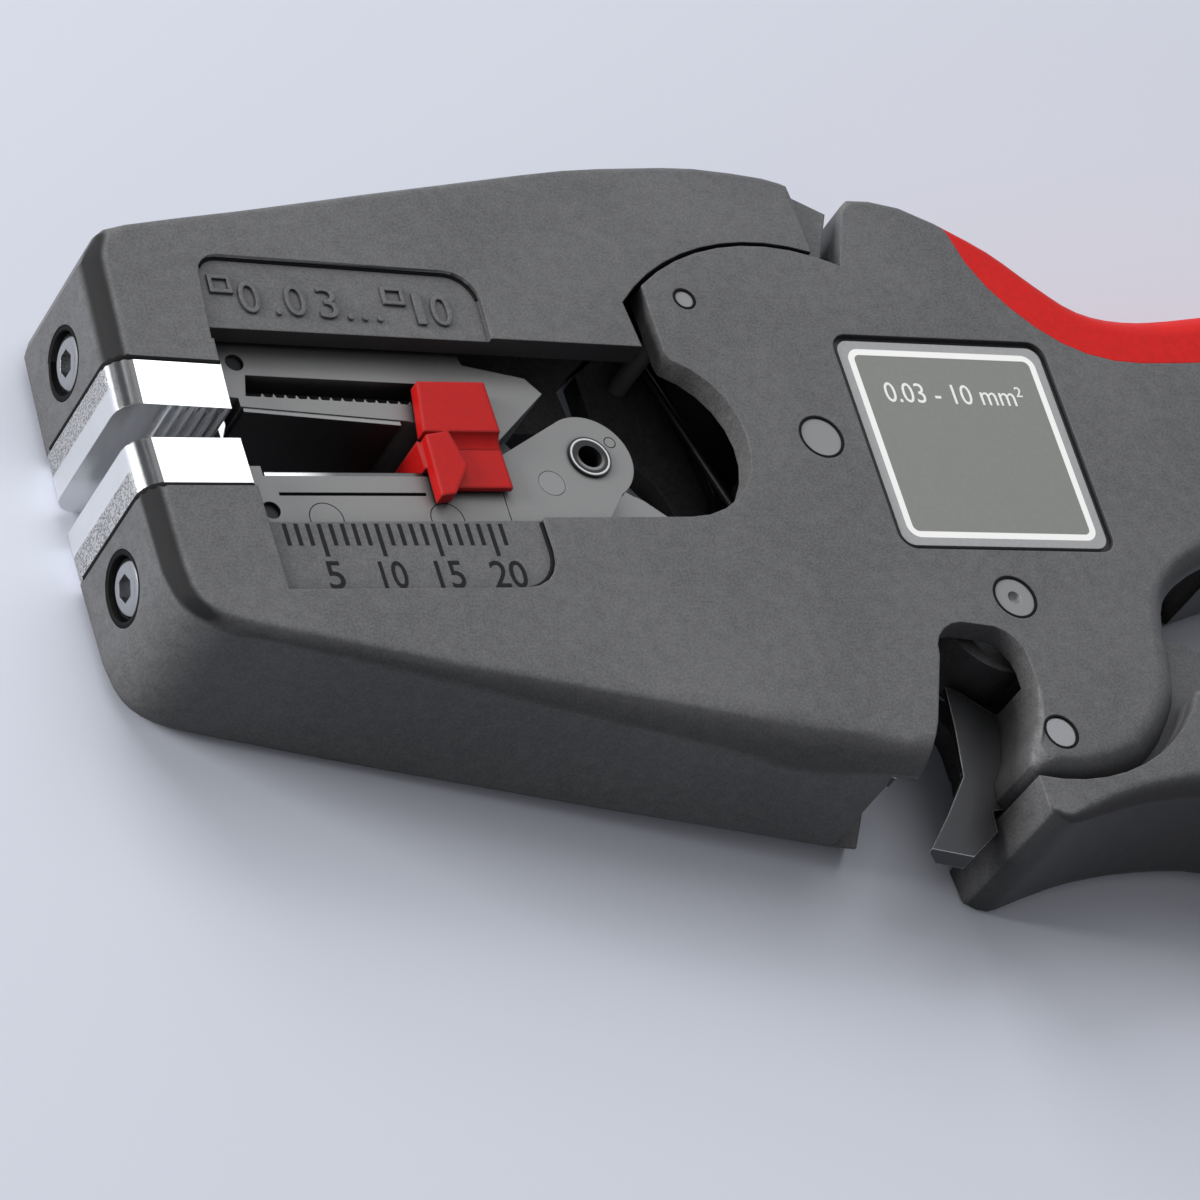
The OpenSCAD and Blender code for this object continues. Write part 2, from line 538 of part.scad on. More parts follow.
// Soft pad along the finger side, over a core that the lever holds up inside it
pad_from = 18;
pad_to = len(finger_line) - 10;
pad_line = [for (i = [pad_from:pad_to]) finger_line[i]];
pad_depth = 4.6;
function between(p, i, d) = 0.5 * (inset(p, i, d) + inset(p, i + 1, d));
pad_zone = concat([for (i = [pad_from:pad_to]) between(finger_line, i, -6)],
    [for (i = [pad_to - 1:-1:pad_from + 1]) let (s = (i - pad_from) / (pad_to - pad_from))
        between(finger_line, i, pad_depth * sqrt(sin(180 * s)))]);
pad_edge = [for (i = [pad_from - 2:pad_to + 3]) finger_line[i]];
pad_blank = concat(flat(pad_edge), [for (i = [pad_to + 2:-2:pad_from - 2]) inset(finger_line, i,
    1.6 * pad_depth)]);
pad_core = concat([for (i = [pad_from + 4:pad_to - 4]) inset(finger_line, i, soft_t)],
    [for (i = [pad_to - 4:-1:pad_from + 4]) inset(finger_line, i, pad_depth + 0.6)]);

module trigger_lever() color(PLASTIC) difference() {
    union() {
        difference() {
            moulding(lever_outline, lever_rounds, 0, body_t);
            slab(pad_zone, -1, body_t + 1);
        }
        slab(pad_core, core_lo, core_hi);
        slab(rib_outline, lever_lo, lever_hi);
        disc(trigger_pin, lever_hub_r, trigger_coil_z + 2.9, lever_hi);
    }
    disc(trigger_pin, bush_r + fit, 0, body_t);
    disc(trigger_pin, trigger_coil_r + coil_wire_r + 0.3, lever_lo - 1, trigger_coil_z + 2.9);
    spring_slot();
    translate([0, 0, tp_lo - 0.05]) linear_extrude(body_t) trigger_plate_shape(0.1);
    for (p = plate_rivets_at) disc(p, plate_rivet_r + fit, lever_lo - 1, body_t);
}

// Slot in the rib for the spring's leg
module spring_slot() {
    d = unit(trigger_leg_tip - trigger_pin);
    translate([trigger_pin.x, trigger_pin.y, lever_lo - 1]) rotate([0, 0, atan2(d.y, d.x)])
        translate([0, -1, 0]) cube([norm(trigger_leg_tip - trigger_pin) + 0.6, 5.2,
            trigger_coil_z + 1.1 - lever_lo + 1]);
}

module trigger_soft_pad() color(RED) difference() {
    moulding(pad_blank, [pad_edge], 0, body_t);
    outside(pad_zone);
    slab(pad_core, core_lo, core_hi);
}

// Steel plate in the trigger: cam, arm for the pull rod and carrier of the moving blade
cam_throw = 1.6;
cam_at = trigger_pin + [cam_throw, 0];
roller_now = [roller_at.x * cos(jaw_open) + roller_at.y * sin(jaw_open),
    roller_at.y * cos(jaw_open) - roller_at.x * sin(jaw_open)];
cam_r = norm(roller_now - cam_at) - roller_r - 0.05;
plate_arm = [[11, -10.2], [0, -11.6], [-4.4, -13.4], [-5.4, -17.2], [-5.2, -21], [-4.4, -25], [-2.6, -28.6],
    [-1.4, -28.8], [0.4, -26], [1.6, -22.6], [2.4, -18], [4.2, -15.8], [8, -15.2], [11, -18]];
plate_tail = [[13, -21], [19.2, -22], [23, -24.6], [25.4, -22], [24, -16.6], [18, -12.4], [13, -10]];
module trigger_plate_shape(grow) {
    translate(cam_at) circle(cam_r + grow);
    polygon(plate_arm);
    polygon([for (i = [0:len(plate_tail) - 1]) grow == 0 ? plate_tail[i] : inset(plate_tail, i, -grow)]);
}
plate_rivets_at = [[19.6, -18], [22.4, -21.2]];
plate_rivet_r = 0.9;
blade_rivets_at = [[-2.6, -22.6], [-2, -26]];
blade_rivet_r = 0.8;
rod_pin_r = 1.1;
module trigger_plate() color(STEEL) translate([0, 0, tp_lo]) linear_extrude(plate_t) difference() {
    trigger_plate_shape(0);
    translate(trigger_pin) circle(bush_r + fit);
    translate(rod_pin_at) circle(rod_pin_r + fit);
    for (p = plate_rivets_at) translate(p) circle(plate_rivet_r + fit);
    for (p = blade_rivets_at) translate(p) circle(blade_rivet_r + fit);
}

bush_r = 2.75;
module trigger_bush() color(BRIGHT) difference() {
    disc(trigger_pin, bush_r, plate_lo + slip, lever_hi);
    disc(trigger_pin, trigger_pin_r + fit, 0, body_t);
}

moving_blade = [[3.1, -18.6], [3, -20.6], [2, -24], [0.8, -27.3], [-0.7, -29.6], [-3.2, -28.3], [-4.4, -25],
    [-4.6, -21.4], [0.4, -20.2], [1.6, -18.2]];
module moving_cutter_blade() color(BRIGHT) difference() {
    slab(moving_blade, mov_lo, tp_lo);
    for (p = blade_rivets_at) disc(p, blade_rivet_r + fit, mov_lo - 1, tp_lo + 1);
}
module cutter_blade_rivets() color(STEEL) for (p = blade_rivets_at) disc(p, blade_rivet_r, mov_lo,
    tp_hi + 0.15);
module trigger_plate_rivets() color(STEEL) for (p = plate_rivets_at)
    disc(p, plate_rivet_r, trigger_coil_z + 1.4, tp_hi + 0.15);
module pull_rod_pin() color(STEEL) disc(rod_pin_at, rod_pin_r, rod_lo - 0.2, tp_hi);

// Lower half of the cassette, which slides on the rail
car_front = window_x + 0.2;
car_rear = -29.9;
car_top = -2.2;
car_base = rail_top + gap;
strip_t = 0.4;
blade_lo = car_lo + 0.7;
blade_hi = car_hi - 0.7;
lower_hole = [car_front + 2.1, -5.4];
upper_hole = [car_front + 2.8, 8.5];
blade_pin_r = 0.75;
tab_half = 1;
plate_z = [car_lo + 0.05, car_hi - 0.05 - link_t];
tongue_gap = plate_z[0] + link_t;

module lower_blade_carrier() color(CARRIER) difference() {
    union() {
        block(car_front, car_rear, car_base, car_top, car_lo, car_hi);
        block(car_front, car_front + 2.3, car_top - 0.1, -1.3, car_lo, car_hi);
        for (z = [[car_lo, mid_z - rail_w / 2 - slip], [mid_z + rail_w / 2 + slip, car_hi]])
            block(car_front, car_rear, rail_y + 0.6, car_base + 0.1, z[0], z[1]);
        slab([[car_rear - 0.1, car_base], [-23.6, car_base], [-23.6, -6.2], [-25, -5.2], [-28.2, -6.4],
            [car_rear - 0.1, -6.4]], tongue_gap, body_t - tongue_gap);
    }
    blade_pocket(lower_hole, -7.6, -0.5);
    for (z = [car_lo - 1, car_hi - 0.35]) block(car_front + 3.2, -36.8, -4.05, -3.75, z, z + 1.35);
    disc(plate_rivet_at, link_rivet_r + fit, 0, body_t);
}

// Pocket of a stripping blade: a slot across the carrier's front and the hole of its pin
module blade_pocket(hole, y0, y1) {
    block(car_front - 1, car_front + blade_t + 0.05, y0 - 0.05, y1, blade_lo - 0.05, blade_hi + 0.05);
    block(car_front, hole.x + blade_pin_r + 0.65, hole.y - 1.25, hole.y + 1.25,
        mid_z - tab_half - 0.05, mid_z + tab_half + 0.05);
    disc(hole, blade_pin_r + fit, 0, body_t);
}

// Stripping blade: a plate across the mouth with a bevelled edge, and a tab for its pin
module stripping_blade(hole, y_back, y_edge) {
    up = sign(y_edge - y_back);
    y_bevel = y_edge - up * 1.4;
    difference() {
        union() {
            translate([0, 0, blade_lo]) linear_extrude(blade_hi - blade_lo) polygon([
                [car_front + 0.05, y_back], [car_front + blade_t, y_back], [car_front + blade_t, y_bevel],
                [car_front + 0.17, y_edge], [car_front + 0.05, y_edge]]);
            block(car_front + 0.1, hole.x + blade_pin_r + 0.6, hole.y - 1.2, hole.y + 1.2,
                mid_z - tab_half, mid_z + tab_half);
        }
        disc(hole, blade_pin_r + fit, 0, body_t);
    }
}
lower_edge_y = mouth_y - 0.1;
upper_edge_y = lower_edge_y + blade_gap;
module lower_stripping_blade() color(BRIGHT) stripping_blade(lower_hole, -7.5, lower_edge_y);
module upper_stripping_blade() color(BRIGHT) stripping_blade(upper_hole, 10.6, upper_edge_y);
module lower_blade_pin() color(STEEL) disc(lower_hole, blade_pin_r, car_lo + 0.4, car_hi - 0.4);
module upper_blade_pin() color(STEEL) disc(upper_hole, blade_pin_r, car_lo + 0.4, car_hi - 0.4);
module lower_wear_strip() color(BRIGHT) block(car_front + 2.5, car_rear, car_top, car_top + strip_t,
    car_lo + 0.1, car_hi - 0.1);

// Link plates on both sides of the cassette's rear, flat where they meet the carrier
link_rivet_r = 0.9;
module link_plate(z) translate([0, 0, z]) linear_extrude(link_t) difference() {
    intersection() {
        union() {
            translate(rivet_at) circle(link_r);
            polygon([rivet_at + link_r * [-0.515, 0.857], rivet_at + link_r * [0.515, -0.857], [-24, -10.4],
                [-33, -10.4], [-36, -4]]);
        }
        translate([car_rear + slip, car_base]) square([40, 40]);
    }
    translate(rivet_at) circle(rivet_r + fit);
    translate(link_pin_at) circle(link_pin_r + fit);
    translate(plate_rivet_at) circle(link_rivet_r + fit);
}
module link_plates() color(CARRIER) for (z = plate_z) link_plate(z);
module link_plate_rivet() color(STEEL) disc(plate_rivet_at, link_rivet_r, plate_z[0], plate_z[1] + link_t);
module link_pin() color(STEEL) disc(link_pin_at, link_pin_r, plate_z[0], plate_z[1] + link_t);
module hollow_rivet() color(BRIGHT) difference() {
    union() {
        disc(rivet_at, rivet_r, plate_z[0] - 0.25, plate_z[1] + link_t + 0.25);
        disc(rivet_at, rivet_flange_r, plate_z[1] + link_t, plate_z[1] + link_t + 0.25);
        disc(rivet_at, rivet_flange_r, plate_z[0] - 0.25, plate_z[0]);
    }
    disc(rivet_at, rivet_bore_r, 0, body_t);
}

// Upper half of the cassette: a long arm that swings on the flush pin
arm_outline = [[car_front, 5.4], [car_front + 2.2, 5.1], [car_front + 2.2, 4.3], [-36.4, 3.1], [-35.6, 2.9], [-30.8, 0.95],
    [-29.2, 0.8], [-23.2, 5.9], [-24.4, 7.4], [-29.8, 8.6], [-30.4, 11.2], [car_front, 12]];
arm_eye_r = 2.1;
slot_x0 = car_front + 3.4;
slot_x1 = -29.2;
module upper_blade_carrier() color(CARRIER) difference() {
    union() {
        slab(arm_outline, car_lo, car_hi);
        bar(link_pin_at, [-27.2, 2.4], arm_eye_r, 2, mid_z - 1, mid_z + 1);
    }
    blade_pocket(upper_hole, upper_edge_y - 3, 10.6);
    for (z = [car_lo - 1, car_hi - slot_depth]) arm_slot(z);
    disc(link_pin_at, link_pin_r + fit, 0, body_t);
}

// The arm's long slot, with fine teeth along its lower side
tooth_pitch = 1;
slot_teeth = floor((slot_x1 - slot_x0) / tooth_pitch) - 1;
module arm_slot(z) translate([0, 0, z]) linear_extrude(slot_depth + 1) difference() {
    polygon([[slot_x0, 7.3], [slot_x0 - 0.5, 5.3], [slot_x1, 4.4], [slot_x1, 6.5]]);
    for (i = [1:slot_teeth]) let (x = slot_x0 + i * tooth_pitch, y = 5.25 - i * 0.05)
        polygon([[x - 0.35, y - 0.3], [x + 0.35, y - 0.3], [x, y + 0.4]]);
}
module upper_wear_strip() color(BRIGHT) slab([[car_front + 2.4, 4.28 - strip_t], [-37, 3.12 - strip_t],
    [-37, 3.12], [car_front + 2.4, 4.28]], car_lo + 0.1, car_hi - 0.1);

// Red length stop: a plate on each side of the cassette, joined by the block that the wire meets
stop_x = -36.2;
stop_face = car_hi + gap;
stop_top = stop_face + 1.2;
stop_step = stop_face + 0.5;
module stop_side() {
    slab([[stop_x + 0.8, 5.9], [stop_x, 1.1], [stop_x + stop_w, 1.1], [stop_x + stop_w, 5.9]],
        stop_face, stop_top);
    slab([[stop_x + 0.6, 1.2], [stop_x + 0.6, -3.8], [stop_x + stop_w, -3.8], [stop_x + stop_w, 1.2]],
        stop_face, stop_step);
    slab([[stop_x + 0.1, 0.8], [stop_x + 2.2, 1.15], [stop_x + 3, -2.1], [stop_x + 1.1, -4.8],
        [stop_x - 0.2, -5]], stop_face, stop_top);
}
stop_block = [[stop_x - 0.2, car_top + strip_t + 0.1], [stop_x + 2.7, car_top + strip_t + 0.1],
    [stop_x + 2.7, -0.2], [stop_x + 0.9, 0.55], [stop_x - 0.2, 0.9]];
module length_stop() color(RED) {
    stop_side();
    translate([0, 0, body_t]) mirror([0, 0, 1]) stop_side();
    slab(stop_block, body_t - stop_face - 0.1, stop_face + 0.1);
}

// Leaf behind the stop's front plate, which bears on the arm and holds the stop where it is put
leaf_t = gap - 0.06;
module stop_detent_spring() color(STEEL) translate([0, 0, stop_face - leaf_t])
    linear_extrude(leaf_t) polygon([[stop_x + 0.9, 3.4], [stop_x + stop_w - 0.5, 3.4],
        [stop_x + stop_w - 0.5, 5.4], [stop_x + 0.9, 5.4]]);

// Pull rod from the hollow rivet down to the trigger's arm; its lower eye has play for the open linkage
rod_play = 0.9;
rod_eye_r = rod_pin_r + rod_play + 1.1;
module pull_rod() color(STEEL) difference() {
    union() {
        disc(rivet_at, rivet_r + 0.85, rod_lo, rod_hi);
        bar(rivet_at + [4.6, -4.1], rod_pin_at, 3.1, rod_eye_r, rod_lo, rod_hi);
        slab([rivet_at + [-1.5, -1.75], rivet_at + [2.6, -6.4], rivet_at + [6.8, -2],
            rivet_at + [1.6, 1.65]], rod_lo, rod_hi);
    }
    disc(rivet_at, rivet_r + fit, 0, body_t);
    disc(rod_pin_at, rod_pin_r + rod_play, 0, body_t);
}

main_housing();
soft_saddle();
label_plate();
main_pivot_pin();
trigger_pivot_pin();
spring_anchor_pin();
cutter_rivet();
fixed_cutter_blade();
lower_clamp_insert();
lower_clamp_screw();
cassette_rail();
trigger_spring();
jaw_spring();
upper_jaw_moulding();
upper_clamp_insert();
upper_clamp_screw();
jaw_bearing_plates();
jaw_plate_pins();
jaw_cam_roller();
trigger_lever();
trigger_soft_pad();
trigger_plate();
trigger_bush();
moving_cutter_blade();
cutter_blade_rivets();
trigger_plate_rivets();
pull_rod_pin();
lower_blade_carrier();
lower_stripping_blade();
lower_wear_strip();
lower_blade_pin();
link_plates();
link_plate_rivet();
hollow_rivet();
link_pin();
upper_blade_carrier();
upper_stripping_blade();
upper_wear_strip();
upper_blade_pin();
length_stop();
stop_detent_spring();
pull_rod();
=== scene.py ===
# %% [markdown]
# # An automatic wire stripper, dressed for its portrait
#
# The shapes come from the CAD model, which is loaded first and stays as it is. This notebook
# adds what CAD leaves out: rounded moulded edges, grain in the plastic, worn and brushed
# metal, a length scale, raised capacity marks, a printed label, and then light and a camera.
# Everything is in metres, in the CAD model's own frame: the main pin stands on the origin,
# X runs along the handle and Z comes up out of the side that carries the scale.

# %% Load the frame
import json, math
import bpy, bmesh
from mathutils import Matrix, Vector


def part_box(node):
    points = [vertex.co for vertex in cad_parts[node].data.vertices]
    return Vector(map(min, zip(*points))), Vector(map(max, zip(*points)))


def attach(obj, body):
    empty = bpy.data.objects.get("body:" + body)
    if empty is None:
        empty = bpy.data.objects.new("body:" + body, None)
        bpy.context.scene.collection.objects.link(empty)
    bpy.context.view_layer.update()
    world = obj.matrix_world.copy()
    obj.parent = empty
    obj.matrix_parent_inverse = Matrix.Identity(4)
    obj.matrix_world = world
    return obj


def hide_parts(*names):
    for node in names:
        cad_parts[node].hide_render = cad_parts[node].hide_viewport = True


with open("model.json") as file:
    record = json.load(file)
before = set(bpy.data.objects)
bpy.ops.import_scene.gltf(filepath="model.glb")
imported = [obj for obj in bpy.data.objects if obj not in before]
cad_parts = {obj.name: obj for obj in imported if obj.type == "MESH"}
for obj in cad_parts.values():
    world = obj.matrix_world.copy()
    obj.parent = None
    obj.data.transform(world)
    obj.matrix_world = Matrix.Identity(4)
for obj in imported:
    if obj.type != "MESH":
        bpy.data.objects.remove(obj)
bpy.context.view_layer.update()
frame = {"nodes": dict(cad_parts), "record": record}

mm = 0.001

# %% [markdown]
# ## Camera
#
# The photograph was taken with a long lens from above the mouth, and the camera leaned over a
# little. A camera can be aimed with a Track To constraint, but that can't hold such a lean.
# Here its three axes are written down as they were worked out from points on the picture, so
# the matrix is exact and needs no helper objects.

# %% Place the camera
def in_scene(name, data):
    """A new object with this data, linked into the scene."""
    obj = bpy.data.objects.new(name, data)
    bpy.context.scene.collection.objects.link(obj)
    return obj

camera_data = bpy.data.cameras.new("portrait_camera")
camera_data.sensor_width = 36
camera_data.lens = 161.63
camera_data.clip_start = 0.01
camera = in_scene("portrait_camera", camera_data)
# the camera's three axes and its place, in the tool's frame
right, up = Vector((0.8592, -0.2831, 0.4262)), Vector((0.0070, 0.8394, 0.5435))
back, place = Vector((-0.5116, -0.4640, 0.7232)), Vector((-0.2414, -0.2108, 0.31925))
camera.matrix_world = Matrix([[right[i], up[i], back[i], place[i]] for i in range(3)] + [[0, 0, 0, 1]])
bpy.context.scene.camera = camera
bpy.context.scene.view_settings.view_transform = "Standard"
print("camera is", round(place.length, 3), "m from the main pin")

# %% [markdown]
# ## Writing materials as sums
#
# A procedural material is a sum written with wires: noise times a factor, minus a mask. Wiring
# it by hand in the editor is quick to try and slow to read. Two small helpers let it be
# written as Python. `Value` wraps one socket, and adding or multiplying two of them adds the
# Math node. `Finish` makes every other node: type first, then its settings, then its sockets.

# %% A socket that can be used in a sum
class Value:
    """One socket of a material; each operator on it adds a Math node."""
    def __init__(self, finish, socket):
        self.finish, self.socket = finish, socket

    def maths(self, operation, first, second=None, clamp=False):
        sockets = {0: first} if second is None else {0: first, 1: second}
        return self.finish.node("ShaderNodeMath", {"operation": operation, "use_clamp": clamp}, sockets)

    def __add__(self, other):
        return self.maths("ADD", self, other)

    def __radd__(self, other):
        return self.maths("ADD", other, self)

    def __sub__(self, other):
        return self.maths("SUBTRACT", self, other)

    def __rsub__(self, other):
        return self.maths("SUBTRACT", other, self)

    def __mul__(self, other):
        return self.maths("MULTIPLY", self, other)

    def __rmul__(self, other):
        return self.maths("MULTIPLY", other, self)

    def __abs__(self):
        return self.maths("ABSOLUTE", self)

    def above(self, other):
        """The larger of the two."""
        return self.maths("MAXIMUM", self, other)

    def below(self, other):
        """The smaller of the two."""
        return self.maths("MINIMUM", self, other)

    def root(self):
        return self.maths("SQRT", self)

    def ramp(self, low, high):
        """0 under low, 1 over high, and smooth in between."""
        settings = {"interpolation_type": "SMOOTHSTEP"}
        return self.finish.node("ShaderNodeMapRange", settings,
                                {"Value": self, "From Min": low, "From Max": high})


# %% A material that is built node by node
class Finish:
    """A material or a world under construction; place is the point in object coordinates."""
    def __init__(self, name, world=False):
        self.material = (bpy.data.worlds if world else bpy.data.materials).new(name)
        self.material.use_nodes = True
        self.tree = self.material.node_tree
        self.tree.nodes.clear()
        self.place = self.node("ShaderNodeTexCoord", output="Object")

    def node(self, kind, settings=None, sockets=None, output=0):
        """One node: its settings first, then a value or a link for each socket."""
        node = self.tree.nodes.new(kind)
        for key, value in (settings or {}).items():
            setattr(node, key, value)
        for key, value in (sockets or {}).items():
            if isinstance(value, Value):
                self.tree.links.new(value.socket, node.inputs[key])
            else:
                node.inputs[key].default_value = value
        return Value(self, node.outputs[output])

    def noise(self, size, detail=2.0, roughness=0.5, stretch=(1, 1, 1)):
        """Noise of about this grain size in metres, 0 to 1; stretch draws it out along an axis."""
        scale = tuple(1 / (size * s) for s in stretch)
        place = self.node("ShaderNodeVectorMath", {"operation": "MULTIPLY"}, {0: self.place, 1: scale})
        return self.node("ShaderNodeTexNoise", {}, {"Vector": place, "Scale": 1.0, "Detail": detail,
                                                    "Roughness": roughness})

    def axis(self, vector, letter):
        """One number out of a vector: X, Y or Z."""
        return self.node("ShaderNodeSeparateXYZ", {}, {0: vector}, output=letter)

    def mix(self, share, first, second):
        """Colour between first and second; each is a colour of three numbers or a link."""
        a, b = (c if isinstance(c, Value) else (*c, 1) for c in (first, second))
        colours = {0: share, 6: a, 7: b}          # 6 and 7 are the node's colour sockets A and B
        return self.node("ShaderNodeMix", {"data_type": "RGBA"}, colours, output=2)

    def true_normal(self):
        return self.node("ShaderNodeNewGeometry", output="Normal")

    def facing(self, letter):
        """How far the surface faces along X, Y or Z: 1 straight that way, -1 straight away from it."""
        return self.axis(self.true_normal(), letter)

    def soft_normal(self, radius):
        """The surface's normal, rounded over at each edge as if the edge had this radius."""
        return self.node("ShaderNodeBevel", {"samples": 4}, {"Radius": radius})

    def edges(self, soft):
        """1 on edges and 0 on flat ground: how far the rounded normal leans from the true one."""
        dot = self.node("ShaderNodeVectorMath", {"operation": "DOT_PRODUCT"},
                        {0: soft, 1: self.true_normal()}, output="Value")
        return (1 - dot).ramp(0.02, 0.25)

    def corner(self, letter):
        """1 half-way round a rounded edge between a wall that faces -X or -Y and the top, 0 on both."""
        return (-2 * self.facing(letter) * self.facing("Z")).ramp(0.3, 0.8)

    def faces_down(self, low, high):
        """1 on walls that face -Y, 0 on the others; low and high: how far they lean that way."""
        return (0 - self.facing("Y")).ramp(low, high)

    def hollow(self, reach, neighbours=True):
        """1 deep in a slot or close to a neighbour's wall, 0 on open ground."""
        open_sky = self.node("ShaderNodeAmbientOcclusion", {"samples": 6, "only_local": not neighbours},
                             {"Distance": reach}, output="AO")
        return 1 - open_sky.ramp(0.35, 0.95)

    def in_sight(self):
        """1 for rays from the camera, from mirrors and through glass; 0 for light on its way to a surface."""
        camera, mirror, glass = (self.node("ShaderNodeLightPath", output="Is %s Ray" % kind)
                                 for kind in ("Camera", "Glossy", "Transmission"))
        return camera.maths("ADD", camera + mirror, glass, clamp=True)

    def finish(self, colour, roughness, height=None, strength=0.2, depth=0.05 * mm, normal=None,
               **sockets):
        """The finished material. height: what a bump is made from; sockets: others of the shader's."""
        if height is not None:
            bump = {"Strength": strength, "Distance": depth, "Height": height}
            if normal is not None:
                bump["Normal"] = normal
            normal = self.node("ShaderNodeBump", {}, bump)
        shader = {"Base Color": colour if isinstance(colour, Value) else (*colour, 1),
                  "Roughness": roughness, **{k.replace("_", " "): v for k, v in sockets.items()}}
        if normal is not None:
            shader["Normal"] = normal
        surface = self.node("ShaderNodeBsdfPrincipled", {}, shader)
        output = self.tree.nodes.new("ShaderNodeOutputMaterial")
        self.tree.links.new(surface.socket, output.inputs["Surface"])
        return self.material


def shaded(colour, factor):
    """The colour made darker or lighter, and no brighter than white."""
    return [min(1, c * factor) for c in colour]

# %% [markdown]
# ## The grey moulding
#
# The body and both handles are glass-filled nylon: dark grey, slightly cloudy, with a fine
# spark-eroded grain that makes it matt, and edges rubbed a little lighter. An image texture
# would need a map for each part. Noise in object coordinates has no seams, and the same
# recipe serves every moulded piece whatever its size. The room here is pale, so the shade that
# a real dark room leaves on rounded corners and in hollows is painted into the recipe too.

# %% Moulded plastic
nose_from, nose_to = 30 * mm, 38 * mm               # the tool's nose begins this far left of the main pin
corner_reach, notch_reach = 2.5 * mm, 9 * mm        # how far away a wall still throws its shade

def moulded_plastic(name, colour, roughness, grain=0.22 * mm, relief=0.35, wear=0.35, spec=0.5,
                    contrast=0.34, edge=0.18 * mm, corner=0.0, hollow=0.0, deep=0.0,
                    underside=0.0, lean=(0.9, 0.98)):
    """Grained plastic, rubbed lighter on its edges by wear. The four shade arguments: how much
    painted shade lies on rounded corners, inside corners, deep notches and walls that face -Y."""
    f = Finish(name)
    cloud = 0.5 * f.noise(14 * mm, 3) + 0.5 * f.noise(1.1 * mm, 2)
    speck = f.noise(grain, 2, 0.6)
    soft = f.soft_normal(edge)
    worn = f.edges(soft) * (0.4 + 0.8 * f.noise(2.5 * mm, 3)) * wear
    tone = f.mix(0.45 * cloud.ramp(0.3, 0.7) + 0.55 * speck.ramp(0.35, 0.65),
                 shaded(colour, 1 - contrast), shaded(colour, 1 + contrast))
    tone = f.mix(worn, tone, [0.5 * c + 0.5 * max(0.3, c) for c in colour])
    if corner:       # painted dark reflection on rounded corners, strongest on the tool's nose
        nose = (0 - f.axis(f.place, "X")).ramp(nose_from, nose_to)
        painted_corner_dark = (corner * nose * f.corner("X") + 0.5 * corner * f.corner("Y")).below(1)
        tone = f.mix(painted_corner_dark, tone, shaded(colour, 0.05))
        roughness = roughness + 0.4 * painted_corner_dark
    if hollow:       # painted shade keeps the inside corners dark
        tone = f.mix(hollow * f.hollow(corner_reach), tone, shaded(colour, 0.15))
    if deep:         # painted shade: a notch through the whole body is darker still
        tone = f.mix(deep * f.hollow(notch_reach, neighbours=False), tone, shaded(colour, 0.1))
    if underside:    # painted shade: a wall that looks down into the mouth is darkened
        tone = f.mix(underside * f.faces_down(*lean), tone, shaded(colour, 0.1))
    rough = roughness - 0.08 + 0.16 * speck
    return f.finish(tone, rough, height=speck, strength=relief, depth=0.04 * mm, normal=soft,
                    Specular_IOR_Level=spec)

# %% The greys and the two reds
def grey_nylon(name, **shade):
    """The tool's own grey, with painted shade on corners and in hollows; shade: where this moulding gets more
    painted shade.
    """
    return moulded_plastic(name, (0.105, 0.105, 0.107), 0.47, spec=0.35, corner=0.95, hollow=0.7,
                           **shade)

jaw_plastic = grey_nylon("grey_jaw_moulding", underside=0.85)
trigger_plastic = grey_nylon("grey_trigger_moulding", underside=0.7, lean=(0.25, 0.7))
finishes = {
    "housing_plastic": grey_nylon("grey_moulding", deep=0.85),
    "soft_red": moulded_plastic("soft_red_zone", (0.60, 0.012, 0.010), 0.5, grain=0.5 * mm,
                                relief=0.15, wear=0.0, spec=0.15, contrast=0.08),
    "stop_red": moulded_plastic("red_stop", (0.46, 0.009, 0.008), 0.42, grain=0.6 * mm,
                                relief=0.06, wear=0.25, spec=0.15, contrast=0.06, edge=0.4 * mm),
}
print("plastics:", ", ".join(finishes))

# %% [markdown]
# ## Metals
#
# The clamping inserts are ground and polished, the blade carriers are matt die castings, the
# pins are turned bar and the cutters are blackened with a ground edge. A material for each
# would repeat the same dozen nodes, so they are one shader: how bright, how rough, how long
# the brushing marks are, and a few extras that most pieces leave at nothing, among them
# painted shade in corners and a painted highlight on edges. Stretching the noise along one
# axis draws the marks out.

# %% Brushed metal
def brushed_metal(name, colour, roughness, brushing=(8, 1, 1), marks=0.12 * mm, relief=0.15,
                  metallic=1.0, edge=0.1 * mm, hollow=0.0, edge_steel_and_glint=0.0, fade=None, sheared=None,
                  front=None):
    """Metal with marks of this width, drawn out by brushing. front: a last coat for one face."""
    f = Finish(name)
    line = f.noise(marks, 2, 0.6, brushing)
    cloud = f.noise(6 * mm, 2)
    soft = f.soft_normal(edge)
    tone = f.mix(0.5 * line + 0.5 * cloud, shaded(colour, 0.84), shaded(colour, 1.1))
    tone = f.mix(0.4 * f.edges(soft), tone, [min(1, 1.35 * c + 0.1) for c in colour])
    if edge_steel_and_glint:        # bright ground steel on the edges, partly a painted highlight
        tone = f.mix(edge_steel_and_glint * f.edges(soft), tone, (0.85, 0.85, 0.86))
    if fade:         # bright at its front end, much darker further in along +X
        tone = f.mix(f.axis(f.place, "X").ramp(*fade), tone, shaded(colour, 0.12))
    if hollow:       # painted shade: dark in the corners of a casting and near the walls above it
        tone = f.mix(hollow * f.hollow(3 * mm), tone, shaded(colour, 0.04))
    rough = roughness + 0.14 * (line - 0.5) + 0.1 * (cloud - 0.5)
    if sheared:      # the sheared edge stays bright, the blackened faces do not
        tone = f.mix(abs(f.facing("Z")).ramp(0.4, 0.6), sheared, tone)
    if front:
        tone, rough = front(f, tone, rough)
    return f.finish(tone, rough, height=line, strength=relief, depth=0.01 * mm, normal=soft,
                    Metallic=metallic)

# %% The inserts' half blasted front
mouth_middle = 1.01 * mm                    # Y half-way between the two inserts with the jaw open
blast_from, blast_to = 3.65 * mm, 3.8 * mm  # the blasted halves begin this far from it

